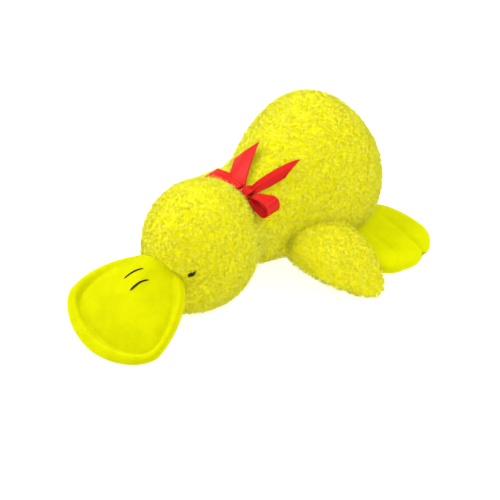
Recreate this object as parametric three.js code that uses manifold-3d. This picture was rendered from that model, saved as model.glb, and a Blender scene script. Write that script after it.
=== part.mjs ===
// A plush duck that lies on its belly with its head and feet on the floor.
// Millimetres, +Z up, bill toward -Y, the duck's own left side toward +X.
import * as THREE from "three";
import { mergeVertices } from "three/addons/utils/BufferGeometryUtils.js";
import Module from "manifold-3d";

const wasm = await Module();
wasm.setup();

// Clearances, cloth walls and cuts that the stuffed pieces share.
const clearance = 0.3;
const plush_wall = 3.5;
const smooth_wall = 2;
const filling_clearance = 0.6;
const floor_flat = 0.5;
const cut_overrun = 2;
const cut_reach = 600;
const pole_share = 0.025;
const pillow_spread_power = 0.7;
const pillow_puff_power = 0.7;
const root_closing_power = 8;

// Torso: widest low over the belly, round behind, drawn in to the neck in front.
const torso_width = 151;
const torso_height = 148;
const torso_rear_length = 76;
const torso_front_length = 121;
const torso_rear_tip_rise = 62;
const torso_widest_share = 0.42;
const torso_belly_power = 2.6;
const torso_back_power = 2;
const torso_flank_taper = 1.5;
const torso_back_taper = 1.1;
const torso_belly_taper = 0.62;
const torso_front_rings_share = 0.55;

// Neck: the flat ring where head and torso meet, and the wad of fibre inside it.
const neck_width = 80;
const neck_height = 80;
const neck_rise = 62;
const neck_wad_diameter = 52;

// Head: a tall ball with a flat resting spot.
const head_width = 117;
const head_depth = 118;
const head_height = 126;
const head_sink = 17;
const head_jaw_power = 2.35;

// Bill: a flared, drooping spoon with a rolled edge inside a sewn line.
const bill_length = 103;
const bill_width = 119;
const bill_root_width = 40;
const bill_widest_share = 0.67;
const bill_front_power = 1.85;
const bill_centre_share = 0.55;
const bill_root_inset = 24;
const bill_root_rise = 64;
const bill_tip_rise = 18;
const bill_droop_power = 1.9;
const bill_root_thickness = 38;
const bill_tip_thickness = 15;
const bill_thinning_power = 1.3;
const bill_rim_width = 11;
const bill_rim_groove = 5;
const bill_stuffing_edge = 19;

// Face marks: thick embroidered dashes.
const eye_length = 11;
const eye_thickness = 3.4;
const eye_rise = 78;
const eye_spacing = 68;
const eye_slope = 40;
const nostril_length = 17;
const nostril_thickness = 2;
const nostril_spacing = 14;
const nostril_from_root = 46;
const nostril_slant = 24;
const nostril_stagger = 5;
const nostril_arch = 2;

// Wings: mitten-shaped pillows that hang from the flank to the floor.
const wing_length = 96;
const wing_width = 64;
const wing_root_width = 58;
const wing_tip_share = 0.56;
const wing_widest_share = 0.45;
const wing_front_power = 2.5;
const wing_root_thickness = 30;
const wing_tip_thickness = 15;
const wing_root_x = 40;
const wing_root_y = -64;
const wing_root_rise = 46;
const wing_reach = 86;
const wing_sweep = 18;
const wing_tip_rise = 0;
const wing_arch = 7;

// Feet: webbed pillows with three soft toes parted by two sewn creases.
const foot_length = 93;
const foot_width = 77;
const foot_root_width = 44;
const foot_tip_share = 0.92;
const foot_widest_share = 0.72;
const foot_front_power = 2.7;
const foot_root_thickness = 26;
const foot_tip_thickness = 19;
const foot_root_x = 34;
const foot_root_y = 27;
const foot_root_rise = 14.5;
const foot_reach = 92;
const foot_sweep = -6;
const foot_tip_rise = 7.2;
const foot_arch = 2;
const foot_crease_depth = 3;
const foot_crease_width = 9;
const foot_toe_notch = 5;
const foot_toes = 3;
const foot_stuffing_edge = 4;

// Ribbon: a satin band round the neck, tied in a bow on top.
const ribbon_width = 16;
const ribbon_thickness = 0.8;
const knot_width = 12;
const knot_depth = 15;
const knot_height = 8;
const knot_turn = 18;
const loop_left_length = 29;
const loop_left_drop = 0;
const loop_right_length = 41;
const loop_right_drop = 20;
const loop_opening = 12;
const loop_upper_share = 0.75;
const loop_sweep = 1;
const loop_gather = 9;
const loop_flare_power = 0.7;
const tail_left_length = 44;
const tail_left_spread = 14;
const tail_left_lift = 2;
const tail_right_length = 27;
const tail_right_spread = 18;
const tail_right_lift = 12;
const tail_slant = 14;
const tail_flare_share = 0.35;

const TURN = Math.PI * 2;
const QUARTER = Math.PI / 2;
const DEGREE = Math.PI / 180;

// A value raised to a power with its sign kept, for rounded-square sections.
function signedPower(value, power) {
  return Math.sign(value) * Math.abs(value) ** power;
}

function mix(from, to, share) {
  return from + (to - from) * share;
}

// A closed surface, facing outward: a first point, rings of points from along = 0 to 1, a last point.
function closedForm(rings, sides, at, first, last) {
  const points = [first];
  for (let ring = 0; ring < rings; ring += 1) {
    for (let side = 0; side < sides; side += 1) {
      points.push(at(ring / (rings - 1), (side / sides) * TURN));
    }
  }
  points.push(last);
  const end = points.length - 1;
  const spot = (ring, side) => 1 + ring * sides + (side % sides);
  const faces = [];
  for (let side = 0; side < sides; side += 1) {
    faces.push([0, spot(0, side), spot(0, side + 1)]);
    faces.push([end, spot(rings - 1, side + 1), spot(rings - 1, side)]);
    for (let ring = 0; ring < rings - 1; ring += 1) {
      faces.push([spot(ring, side), spot(ring + 1, side), spot(ring + 1, side + 1)]);
      faces.push([spot(ring, side), spot(ring + 1, side + 1), spot(ring, side + 1)]);
    }
  }
  const across = new THREE.Vector3();
  const volumes = faces.map(([a, b, c]) => points[a].dot(across.crossVectors(points[b], points[c])));
  if (volumes.reduce((sum, volume) => sum + volume) < 0) {
    faces.forEach((face) => face.reverse());
  }
  const geometry = new THREE.BufferGeometry().setFromPoints(points);
  geometry.setIndex(faces.flat());
  return geometry;
}

function solidOf(geometry) {
  const bare = new THREE.BufferGeometry();
  bare.setAttribute("position", geometry.getAttribute("position"));
  bare.setIndex(geometry.getIndex());
  const merged = mergeVertices(bare);
  const mesh = new wasm.Mesh({
    numProp: 3,
    vertProperties: new Float32Array(merged.getAttribute("position").array),
    triVerts: new Uint32Array(merged.getIndex().array),
  });
  return new wasm.Manifold(mesh);
}

function geometryOf(solid) {
  const mesh = solid.getMesh();
  const geometry = new THREE.BufferGeometry();
  geometry.setAttribute("position", new THREE.BufferAttribute(mesh.vertProperties, 3));
  geometry.setIndex(new THREE.BufferAttribute(mesh.triVerts, 1));
  geometry.computeVertexNormals();
  return geometry;
}

// A block that covers one side of a plane, for straight cuts.
function halfSpace(axis, from, direction) {
  const block = new THREE.BoxGeometry(cut_reach, cut_reach, cut_reach);
  const centre = new THREE.Vector3();
  centre[axis] = from + (direction * cut_reach) / 2;
  block.translate(centre.x, centre.y, centre.z);
  return solidOf(block);
}

const neck_plane = -torso_front_length;
const below_floor = halfSpace("z", 0, -1);
const before_neck = halfSpace("y", neck_plane, -1);
const behind_neck = halfSpace("y", neck_plane - clearance, 1);

// A ball, or a ball squeezed along each axis.
function ball(width, depth, height, sides) {
  const sphere = new THREE.SphereGeometry(1, sides, sides / 2);
  sphere.scale(width / 2, depth / 2, height / 2);
  return sphere;
}

// Torso sections: half width, top, bottom and the height of the widest line at a distance y.
function torsoSection(y, inset) {
  const half_width = torso_width / 2 - inset;
  const top = torso_height - inset;
  const bottom = inset - floor_flat;
  const widest = mix(bottom, top, torso_widest_share);
  if (y > 0) {
    const round = Math.sqrt(Math.max(0, 1 - (y / (torso_rear_length - inset)) ** 2));
    return {
      half_width: half_width * round,
      top: mix(torso_rear_tip_rise, top, round),
      bottom: mix(torso_rear_tip_rise, bottom, round),
      widest: mix(torso_rear_tip_rise, widest, round),
    };
  }
  const round = Math.cos(Math.min(1, -y / torso_front_length) * QUARTER);
  return {
    half_width: mix(neck_width / 2 - inset, half_width, round ** torso_flank_taper),
    top: mix(neck_rise + neck_height / 2 - inset, top, round ** torso_back_taper),
    bottom: mix(neck_rise - neck_height / 2 + inset, bottom, round ** torso_belly_taper),
    widest: mix(neck_rise, widest, round),
  };
}

function torsoForm(inset, rings, sides) {
  const front = neck_plane - cut_overrun;
  const rear = torso_rear_length - inset;
  const at = (along, around) => {
    const front_part = Math.min(1, along / torso_front_rings_share);
    const rear_part = Math.max(0, (along - torso_front_rings_share) / (1 - torso_front_rings_share));
    const y = mix(front, 0, front_part) + rear * Math.sin(rear_part * (1 - 2 * pole_share) * QUARTER);
    const { half_width, top, bottom, widest } = torsoSection(y, inset);
    const belly = Math.sin(around) < 0;
    const power = belly ? torso_belly_power : torso_back_power;
    const rise = belly ? widest - bottom : top - widest;
    return new THREE.Vector3(
      half_width * signedPower(Math.cos(around), 2 / power),
      y,
      widest + rise * signedPower(Math.sin(around), 2 / power),
    );
  };
  const first = new THREE.Vector3(0, front - cut_overrun, neck_rise);
  const last = new THREE.Vector3(0, rear, torso_rear_tip_rise);
  return solidOf(closedForm(rings, sides, at, first, last));
}

// Height of the torso's back over a point of the floor.
function torsoBack(x, y) {
  const { half_width, top, widest } = torsoSection(y, 0);
  const share = Math.min(1, Math.abs(x) / half_width);
  return widest + (top - widest) * (1 - share ** torso_back_power) ** (1 / torso_back_power);
}

const head_y = neck_plane - head_depth / 2 + head_sink;
const head_rise = head_height / 2 - floor_flat;

function headForm(inset, rings, sides) {
  const at = (along, around) => {
    const polar = mix(pole_share, 1 - pole_share, along) * Math.PI;
    const side = Math.sin(polar) * Math.cos(around);
    const rise = Math.sin(polar) * Math.sin(around);
    const power = rise < 0 ? head_jaw_power : 2;
    const rounded = (Math.abs(side) ** power + Math.abs(rise) ** power) ** (1 / power);
    const fullness = Math.hypot(side, rise) / rounded;
    return new THREE.Vector3(
      (head_width / 2 - inset) * side * fullness,
      head_y - (head_depth / 2 - inset) * Math.cos(polar),
      head_rise + (head_height / 2 - inset) * rise * fullness,
    );
  };
  const first = new THREE.Vector3(0, head_y - head_depth / 2 + inset, head_rise);
  const last = new THREE.Vector3(0, head_y + head_depth / 2 - inset, head_rise);
  return solidOf(closedForm(rings, sides, at, first, last));
}

// Flat outline shared by bill, wings and feet: a across, b forward from the root.
function flatOutline(around, size) {
  const forward = -Math.cos(around);
  const edge = Math.sin(around);
  const widest_b = size.length * size.widest_share;
  if (forward > 0) {
    const half_width = (size.width / 2) * mix(1, size.tip_share, forward ** 2);
    const b = mix(widest_b, size.length, forward ** (2 / size.front_power));
    return [half_width * signedPower(edge, 2 / size.front_power), b];
  }
  const half_width = mix(size.width, size.root_width, forward ** 2) / 2;
  const closing = Math.sqrt(1 - Math.abs(forward) ** root_closing_power);
  return [half_width * closing * Math.sign(edge), widest_b * (1 + forward)];
}

// A stuffed pillow over a flat outline. The skin inset thins it and the edge inset draws its outline in.
function pillow(shape, edge_inset, skin_inset, rings, sides) {
  const centre_b = shape.size.length * shape.centre_share;
  const thickness = (b) => {
    const along = Math.min(1, Math.max(0, b / shape.size.length));
    return mix(shape.root_thickness, shape.tip_thickness, along ** shape.thinning_power);
  };
  const at = (along, around) => {
    const polar = mix(pole_share, 1 - pole_share, along) * Math.PI;
    const face = Math.cos(polar);
    const [edge_a, edge_b] = shape.outline(around);
    const size = Math.hypot(edge_a, edge_b - centre_b);
    const reach = ((size - edge_inset) / size) * Math.sin(polar) ** pillow_spread_power;
    const a = edge_a * reach;
    const b = mix(centre_b, edge_b, reach);
    const puff = (thickness(b) / 2 - skin_inset) * signedPower(face, pillow_puff_power);
    return shape.place(a, b, puff - shape.dent(a, b, size * (1 - reach), Math.sign(face)));
  };
  const crown = thickness(centre_b) / 2 - skin_inset;
  const first = shape.place(0, centre_b, crown);
  const last = shape.place(0, centre_b, -crown);
  return solidOf(closedForm(rings, sides, at, first, last));
}

const bill_root_y = head_y - head_depth / 2 + bill_root_inset;
const bill_size = {
  length: bill_length,
  width: bill_width,
  root_width: bill_root_width,
  tip_share: 1,
  widest_share: bill_widest_share,
  front_power: bill_front_power,
};

function billPlace(a, b, h) {
  const drop = (bill_root_rise - bill_tip_rise) * Math.max(0, b / bill_length) ** bill_droop_power;
  return new THREE.Vector3(a, bill_root_y - b, bill_root_rise - drop + h);
}

// The sewn line inside the bill's rolled edge, on its upper side only.
function billDent(a, b, from_edge, face) {
  const groove = Math.exp(-(((from_edge - bill_rim_width) / (bill_rim_width / 2)) ** 2));
  return face > 0 ? bill_rim_groove * groove * Math.max(0, b / bill_length) : 0;
}

const bill = {
  size: bill_size,
  outline: (around) => flatOutline(around, bill_size),
  centre_share: bill_centre_share,
  root_thickness: bill_root_thickness,
  tip_thickness: bill_tip_thickness,
  thinning_power: bill_thinning_power,
  place: billPlace,
  dent: billDent,
};

// The stuffing inside a pillow is smooth where its skin is pressed in along a sewn line.
function stuffing(shape) {
  return { ...shape, dent: () => 0 };
}

// Places a limb's flat shape along a line from root to tip, arched upward and mirrored by its side.
function limbPlace(side, root, tip, length, arch) {
  const forward = tip.clone().sub(root).normalize();
  const across = new THREE.Vector3(0, 1, 0).addScaledVector(forward, -forward.y).normalize();
  const up = new THREE.Vector3().crossVectors(forward, across);
  return (a, b, h) => {
    const lift = h + arch * Math.sin(Math.min(1, b / length) * Math.PI);
    const point = root.clone().addScaledVector(forward, b).addScaledVector(across, a);
    point.addScaledVector(up, lift);
    point.x *= side;
    return point;
  };
}

const wing_size = {
  length: wing_length,
  width: wing_width,
  root_width: wing_root_width,
  tip_share: wing_tip_share,
  widest_share: wing_widest_share,
  front_power: wing_front_power,
};

function wingShape(side) {
  const root = new THREE.Vector3(wing_root_x, wing_root_y, wing_root_rise);
  const tip = new THREE.Vector3(wing_root_x + wing_reach, wing_root_y + wing_sweep, wing_tip_rise);
  return {
    size: wing_size,
    outline: (around) => flatOutline(around, wing_size),
    centre_share: wing_widest_share,
    root_thickness: wing_root_thickness,
    tip_thickness: wing_tip_thickness,
    thinning_power: 1,
    place: limbPlace(side, root, tip, wing_length, wing_arch),
    dent: () => 0,
  };
}

const foot_size = {
  length: foot_length,
  width: foot_width,
  root_width: foot_root_width,
  tip_share: foot_tip_share,
  widest_share: foot_widest_share,
  front_power: foot_front_power,
};

// Three toes: the front edge of the foot runs back between them.
function footOutline(around) {
  const [a, b] = flatOutline(around, foot_size);
  const toe = Math.abs(Math.cos(((foot_toes * a) / foot_width) * Math.PI));
  const front = Math.max(0, -Math.cos(around));
  return [a, b - foot_toe_notch * (1 - toe) * front];
}

// The two sewn creases between the toes, pressed into both faces.
function footDent(a, b, from_edge, face) {
  const from_crease = Math.abs(Math.abs(a) - foot_width / (2 * foot_toes));
  const along = Math.max(0, b / foot_length);
  return face * foot_crease_depth * along * Math.exp(-((from_crease / (foot_crease_width / 2)) ** 2));
}

function footShape(side) {
  const root = new THREE.Vector3(foot_root_x, foot_root_y, foot_root_rise);
  const tip = new THREE.Vector3(foot_root_x + foot_reach, foot_root_y + foot_sweep, foot_tip_rise);
  return {
    size: foot_size,
    outline: footOutline,
    centre_share: foot_widest_share,
    root_thickness: foot_root_thickness,
    tip_thickness: foot_tip_thickness,
    thinning_power: 1,
    place: limbPlace(side, root, tip, foot_length, foot_arch),
    dent: footDent,
  };
}

// A ribbon swept along a path: "at" gives its middle, the way across it and its width at each step.
function ribbonStrip(steps, at) {
  const corner = (along, around) => {
    const wide = Math.sign(Math.cos(around + TURN / 8));
    const { point, across, up, width } = at(along, wide);
    const thick = Math.sign(Math.sin(around + TURN / 8));
    return point.addScaledVector(across, (wide * width) / 2).addScaledVector(up, (thick * ribbon_thickness) / 2);
  };
  return closedForm(steps, 4, corner, at(0, 0).point, at(1, 0).point);
}

const band_y = neck_plane + clearance + ribbon_width / 2;
const band_inner = neck_width / 2 + clearance;
const band_stretch = neck_height / neck_width;

// A ring round the neck, stretched to the neck's tall section.
function neckRing(inner, outer, width) {
  const profile = [
    new THREE.Vector2(inner, -width / 2),
    new THREE.Vector2(outer, -width / 2),
    new THREE.Vector2(outer, width / 2),
    new THREE.Vector2(inner, width / 2),
    new THREE.Vector2(inner, -width / 2),
  ];
  const ring = new THREE.LatheGeometry(profile, 44);
  ring.scale(1, 1, band_stretch);
  ring.translate(0, band_y, neck_rise);
  return ring;
}

const band_outer = band_inner + ribbon_thickness;
const knot_radius = band_outer * band_stretch + clearance + knot_height / 2;
const path_step = 0.001;

// One loop of the bow, measured from the middle of the neck with the knot straight above it.
function loopStrip(side, length, drop) {
  const middle = (along) => {
    const out = Math.sin(along * Math.PI);
    const swell = Math.sin(along * TURN);
    const leaf = loop_opening * (swell > 0 ? loop_upper_share : 1 - loop_upper_share);
    const pinch = ribbon_thickness * Math.cos(along * Math.PI);
    return new THREE.Vector3(
      side * (knot_width / 2 + clearance + length * out),
      band_y + loop_sweep * out ** 2,
      knot_radius + pinch + leaf * swell - drop * out ** 2,
    );
  };
  return ribbonStrip(24, (along) => {
    const point = middle(along);
    const forward = middle(along + path_step).sub(middle(along - path_step)).normalize();
    const across = new THREE.Vector3(0, 1, 0).addScaledVector(forward, -forward.y).normalize();
    const up = new THREE.Vector3().crossVectors(forward, across);
    const width = mix(loop_gather, ribbon_width, Math.sin(along * Math.PI) ** loop_flare_power);
    return { point, across, up, width };
  });
}

// A tail of the bow: it leaves the knot and lies up the back, with a slanted end.
function tailStrip(side, length, spread, lift) {
  const start_x = knot_radius * Math.sin(knot_turn * DEGREE);
  const start_y = band_y + knot_depth / 2 + clearance;
  const start_z = neck_rise + knot_radius * Math.cos(knot_turn * DEGREE);
  const back = (x, y) => torsoBack(x, y) + ribbon_thickness + clearance;
  const middle = (along) => {
    const x = start_x + side * (loop_gather / 2 + clearance + spread * along);
    const y = start_y + length * along;
    return new THREE.Vector3(x, y, Math.max(back(x, y) + lift * along ** 2, start_z));
  };
  return ribbonStrip(10, (along, wide) => {
    const share = along * (1 - (wide * side > 0 ? tail_slant / length : 0));
    const point = middle(share);
    const forward = middle(share + path_step).sub(middle(share - path_step)).normalize();
    const slope_x = (back(point.x + clearance, point.y) - back(point.x - clearance, point.y)) / (2 * clearance);
    const slope_y = (back(point.x, point.y + clearance) - back(point.x, point.y - clearance)) / (2 * clearance);
    const up = new THREE.Vector3(-slope_x, -slope_y, 1).normalize();
    up.addScaledVector(forward, -up.dot(forward)).normalize();
    const across = new THREE.Vector3().crossVectors(forward, up);
    const width = mix(loop_gather, ribbon_width, Math.min(1, share / tail_flare_share));
    return { point, across, up, width };
  });
}

// An eye: a short thick dash that follows the head, longer than it is wide.
function eyeSolid(side, head_grown) {
  const x = eye_spacing / 2;
  const z = eye_rise - head_rise;
  const bulge = Math.sqrt(1 - (x / (head_width / 2)) ** 2 - (z / (head_height / 2)) ** 2);
  const dash = ball(eye_length, eye_thickness, eye_thickness, 16);
  const outward = new THREE.Vector3(x, -(head_depth / 2) * bulge, z);
  dash.rotateY(-eye_slope * DEGREE);
  dash.rotateZ(Math.atan2(x, -outward.y));
  dash.translate(x, head_y + outward.y, eye_rise);
  dash.scale(side, 1, 1);
  return solidOf(closedFacing(dash, side)).subtract(head_grown);
}

// Mirroring turns a surface inside out, so its faces are turned back.
function closedFacing(geometry, side) {
  if (side < 0) {
    const index = geometry.getIndex().array;
    for (let face = 0; face < index.length; face += 3) {
      [index[face], index[face + 1]] = [index[face + 1], index[face]];
    }
  }
  return geometry;
}

// A nostril: a thread dash that lies on the bill and bows a little to one side.
function nostrilGeometry(side) {
  const radius = nostril_thickness / 2;
  const middle = (along) => {
    const run = (along - 0.5) * nostril_length;
    const slant = nostril_slant * DEGREE;
    const bow = nostril_arch * Math.sin(along * Math.PI);
    const a = (side * nostril_spacing) / 2 - run * Math.sin(slant) + bow * Math.cos(slant);
    const b = nostril_from_root + (side * nostril_stagger) / 2 + run * Math.cos(slant) + bow * Math.sin(slant);
    return billTop(a, b, clearance + radius);
  };
  const at = (share, around) => {
    const along = mix(pole_share, 1 - pole_share, share);
    const point = middle(along);
    const forward = middle(along + path_step).sub(middle(along - path_step)).normalize();
    const across = new THREE.Vector3(1, 0, 0).addScaledVector(forward, -forward.x).normalize();
    const up = new THREE.Vector3().crossVectors(across, forward);
    const thick = radius * Math.sqrt(Math.sin(along * Math.PI));
    point.addScaledVector(across, thick * Math.cos(around));
    return point.addScaledVector(up, thick * Math.sin(around));
  };
  return closedForm(8, 6, at, middle(0), middle(1));
}

// A point over the bill's upper face, a height above it.
function billTop(a, b, height) {
  const centre_b = bill_length * bill_centre_share;
  const around = Math.atan2(a, centre_b - b);
  let best = { miss: Infinity, around };
  for (let turn = 0; turn < TURN; turn += DEGREE) {
    const [edge_a, edge_b] = flatOutline(turn, bill_size);
    const miss = Math.abs(Math.atan2(edge_a, centre_b - edge_b) - around);
    best = miss < best.miss ? { miss, around: turn } : best;
  }
  const [edge_a, edge_b] = flatOutline(best.around, bill_size);
  const reach = Math.hypot(a, b - centre_b) / Math.hypot(edge_a, edge_b - centre_b);
  const face = Math.sqrt(1 - reach ** (2 / pillow_spread_power));
  const along = (b / bill_length) ** bill_thinning_power;
  const puff = (mix(bill_root_thickness, bill_tip_thickness, along) / 2) * face ** pillow_puff_power;
  return billPlace(a, b, puff + height);
}

const plush = new THREE.MeshStandardMaterial({ color: 0xf4ec4a, roughness: 0.95, metalness: 0 });
const smooth_plush = new THREE.MeshStandardMaterial({ color: 0xf2f000, roughness: 0.85, metalness: 0 });
const satin = new THREE.MeshStandardMaterial({ color: 0xe2231c, roughness: 0.35, metalness: 0 });
const thread = new THREE.MeshStandardMaterial({ color: 0x1f1c08, roughness: 0.6, metalness: 0 });
const fibre = new THREE.MeshStandardMaterial({ color: 0xf5f3ea, roughness: 1, metalness: 0 });

const duck = new THREE.Group();

function add(name, shape, material) {
  const geometry = shape.isBufferGeometry ? shape : geometryOf(shape);
  const mesh = new THREE.Mesh(geometry, material.clone());
  mesh.name = name;
  duck.add(mesh);
}

const filling_gap = plush_wall + filling_clearance;
const smooth_filling_gap = smooth_wall + filling_clearance;
const foot_filling_gap = foot_stuffing_edge + filling_clearance;
const wad_centre = [0, neck_plane - clearance / 2, neck_rise];
const wad = ball(neck_wad_diameter, neck_wad_diameter, neck_wad_diameter, 16).translate(...wad_centre);
const wad_hole_diameter = neck_wad_diameter + 2 * filling_clearance;
const wad_hole = solidOf(ball(wad_hole_diameter, wad_hole_diameter, wad_hole_diameter, 16).translate(...wad_centre));

// The torso keeps its wall behind the groove that the ribbon draws into the neck.
const band_groove = solidOf(neckRing(neck_width / 2, torso_width, ribbon_width + 2 * clearance));
const collar_width = ribbon_width + 2 * (clearance + plush_wall);
const collar = solidOf(neckRing(neck_width / 2 - plush_wall, torso_width, collar_width));
const filling_collar = solidOf(neckRing(neck_width / 2 - filling_gap, torso_width, collar_width + 2 * clearance));
const torso_outer = torsoForm(0, 26, 26).subtract(before_neck).subtract(below_floor).subtract(band_groove);
const torso_cover = torso_outer.subtract(torsoForm(plush_wall, 16, 18).subtract(collar));
const torso_filling = torsoForm(filling_gap, 16, 18).subtract(filling_collar).subtract(before_neck).subtract(wad_hole);
add("torso_cover", torso_cover, plush);
add("torso_filling", torso_filling, fibre);
add("neck_filling", wad, fibre);

const head_outer = headForm(0, 20, 24).subtract(behind_neck).subtract(below_floor);
const head_filling = headForm(filling_gap, 14, 18).subtract(behind_neck).subtract(wad_hole);
add("head_cover", head_outer.subtract(headForm(plush_wall, 14, 18)), plush);
add("head_filling", head_filling, fibre);

const torso_grown = torsoForm(-clearance, 26, 26);
const head_grown = headForm(-clearance, 20, 24);

const bill_outer = pillow(bill, 0, 0, 21, 32);
const bill_hollow = pillow(stuffing(bill), bill_stuffing_edge, smooth_wall, 12, 28);
const bill_filling = pillow(stuffing(bill), bill_stuffing_edge + filling_clearance, smooth_filling_gap, 12, 28);
add("bill_cover", bill_outer.subtract(bill_hollow).subtract(head_grown), smooth_plush);
add("bill_filling", bill_filling.subtract(head_grown), fibre);

for (const [name, side] of [["left", 1], ["right", -1]]) {
  add(`eye_${name}`, eyeSolid(side, head_grown), thread);
  add(`nostril_${name}`, nostrilGeometry(side), thread);

  const wing = wingShape(side);
  const wing_cover = pillow(wing, 0, 0, 13, 24).subtract(pillow(wing, plush_wall, plush_wall, 8, 14));
  const wing_filling = pillow(wing, filling_gap, filling_gap, 8, 14);
  add(`wing_${name}_cover`, wing_cover.subtract(torso_grown).subtract(below_floor), plush);
  add(`wing_${name}_filling`, wing_filling.subtract(torso_grown), fibre);

  const foot = footShape(side);
  const foot_hollow = pillow(stuffing(foot), foot_stuffing_edge, foot_stuffing_edge, 8, 16);
  const foot_filling = pillow(stuffing(foot), foot_filling_gap, foot_filling_gap, 8, 16);
  const foot_outer = pillow(foot, 0, 0, 11, 32).subtract(torso_grown).subtract(below_floor);
  add(`foot_${name}_cover`, foot_outer.subtract(foot_hollow), smooth_plush);
  add(`foot_${name}_filling`, foot_filling.subtract(torso_grown), fibre);
}

// The bow is made with its knot straight above the neck, then turned round the neck to the duck's left.
function turnedRoundNeck(geometry) {
  geometry.rotateY(knot_turn * DEGREE);
  return geometry.translate(0, 0, neck_rise);
}

const knot = ball(knot_width, knot_depth, knot_height, 16).translate(0, band_y, knot_radius);
add("ribbon_band", neckRing(band_inner, band_outer, ribbon_width), satin);
add("ribbon_knot", turnedRoundNeck(knot), satin);
add("ribbon_loop_left", turnedRoundNeck(loopStrip(1, loop_left_length, loop_left_drop)), satin);
add("ribbon_loop_right", turnedRoundNeck(loopStrip(-1, loop_right_length, loop_right_drop)), satin);
add("ribbon_tail_left", tailStrip(1, tail_left_length, tail_left_spread, tail_left_lift), satin);
add("ribbon_tail_right", tailStrip(-1, tail_right_length, tail_right_spread, tail_right_lift), satin);

// The origin is under the middle of the duck's own box, on the floor.
const box = new THREE.Box3().setFromObject(duck);
const middle = box.getCenter(new THREE.Vector3());
duck.position.set(-middle.x, -middle.y, 0);

export default duck;
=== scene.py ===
"""A plush duck lying on its belly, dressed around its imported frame.

Metres, +Z up, the bill toward -Y and the duck's own left side toward +X.
"""

import logging
import math
from abc import ABC, abstractmethod
from dataclasses import dataclass, field
from enum import Enum
from typing import ClassVar

import bpy
import numpy as np
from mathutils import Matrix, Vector, noise
from mathutils.bvhtree import BVHTree


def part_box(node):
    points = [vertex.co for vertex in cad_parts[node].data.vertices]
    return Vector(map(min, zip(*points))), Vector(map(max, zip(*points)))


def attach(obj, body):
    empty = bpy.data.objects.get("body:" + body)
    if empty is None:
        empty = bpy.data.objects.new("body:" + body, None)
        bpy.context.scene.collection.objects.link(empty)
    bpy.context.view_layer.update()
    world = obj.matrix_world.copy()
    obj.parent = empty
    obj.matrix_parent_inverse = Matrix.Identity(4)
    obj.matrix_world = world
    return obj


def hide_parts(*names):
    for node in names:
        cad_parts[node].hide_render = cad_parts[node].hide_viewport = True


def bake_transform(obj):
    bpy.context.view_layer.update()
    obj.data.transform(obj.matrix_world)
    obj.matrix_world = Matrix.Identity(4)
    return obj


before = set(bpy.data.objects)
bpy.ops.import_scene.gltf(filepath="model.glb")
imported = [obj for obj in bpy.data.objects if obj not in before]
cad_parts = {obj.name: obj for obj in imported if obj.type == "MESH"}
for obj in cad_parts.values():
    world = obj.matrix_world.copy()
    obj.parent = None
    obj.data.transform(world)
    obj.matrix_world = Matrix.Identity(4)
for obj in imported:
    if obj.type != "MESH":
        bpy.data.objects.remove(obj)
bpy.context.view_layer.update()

MM = 0.001
TURN = math.tau
QUARTER = math.pi / 2
LUMP_HEIGHT = 0.7 * MM
BLADE_POINTS = 5
WHITE = (1.0, 1.0, 1.0)
LOG = logging.getLogger("duck")

Array = np.ndarray
Material = bpy.types.Material
Piece = bpy.types.Object
Socket = bpy.types.NodeSocket


class Side(Enum):
    """The duck's own side that a limb or mark is on."""

    LEFT = 1
    RIGHT = -1

    @property
    def label(self) -> str:
        """The side's name as the frame's nodes write it."""
        return self.name.lower()

    def mirrored(self, points: Array) -> Array:
        """Puts points of the left side on this side."""
        return points * np.array([self.value, 1, 1])


def mix(low: Array | float, high: Array | float, share: Array | float) -> Array | float:
    """The value a share of the way from low to high."""
    return low + (high - low) * share


def signed_power(value: Array, power: Array | float) -> Array:
    """Raises values to a power and keeps their sign."""
    return np.sign(value) * np.abs(value) ** power


def unit(vectors: Array) -> Array:
    """Scales vectors to a length of one."""
    return vectors / np.maximum(np.linalg.norm(vectors, axis=-1, keepdims=True), 1e-12)


def angles(count: int) -> Array:
    """Angles spread evenly round a full turn."""
    return np.arange(count) / count * TURN


def above(points: Array, floor: float = 0.0) -> Array:
    """Lifts the points that lie under a floor up to it."""
    points[..., 2] = np.maximum(points[..., 2], floor)
    return points


def rough(points: Array, size: float, seed: float) -> Array:
    """Smooth noise at each point, from -1 to 1, with bumps about that size apart."""
    shift = Vector((seed, -seed, 2 * seed))
    return np.array([noise.noise(Vector(p) / size + shift) for p in points])


@dataclass
class Skin:
    """A surface: its points and faces, and at each point its tip value and the way that it shades."""

    points: Array
    quads: Array = field(default_factory=lambda: np.zeros((0, 4), int))
    triangles: Array = field(default_factory=lambda: np.zeros((0, 3), int))
    tip: Array | None = None
    shading: Array | None = None

    def all_triangles(self) -> Array:
        """Every face cut into triangles."""
        return np.vstack([self.triangles, self.quads[:, [0, 1, 2]], self.quads[:, [0, 2, 3]]])

    def corners(self) -> Array:
        """The first, second and third corner of every triangle."""
        return self.points[self.all_triangles().T]

    def normals(self) -> Array:
        """Finds the way that the surface faces at each point.

        Returns:
            A vector of length one for each point.
        """
        a, b, c = self.corners()
        faces = np.cross(b - a, c - a)
        total = np.zeros_like(self.points)
        for corner in self.all_triangles().T:
            np.add.at(total, corner, faces)
        return unit(total)

    def outward(self) -> "Skin":
        """Turns the faces of a closed surface so that they face outward.

        Returns:
            This surface.
        """
        a, b, c = self.corners()
        if np.einsum("ij,ij->", a, np.cross(b, c)) < 0:
            self.quads = self.quads[:, ::-1]
            self.triangles = self.triangles[:, ::-1]
        return self

    def tree(self) -> BVHTree:
        """A search tree of the surface, for finding what lies inside it."""
        return BVHTree.FromPolygons(self.points.tolist(), self.all_triangles().tolist())


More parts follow.
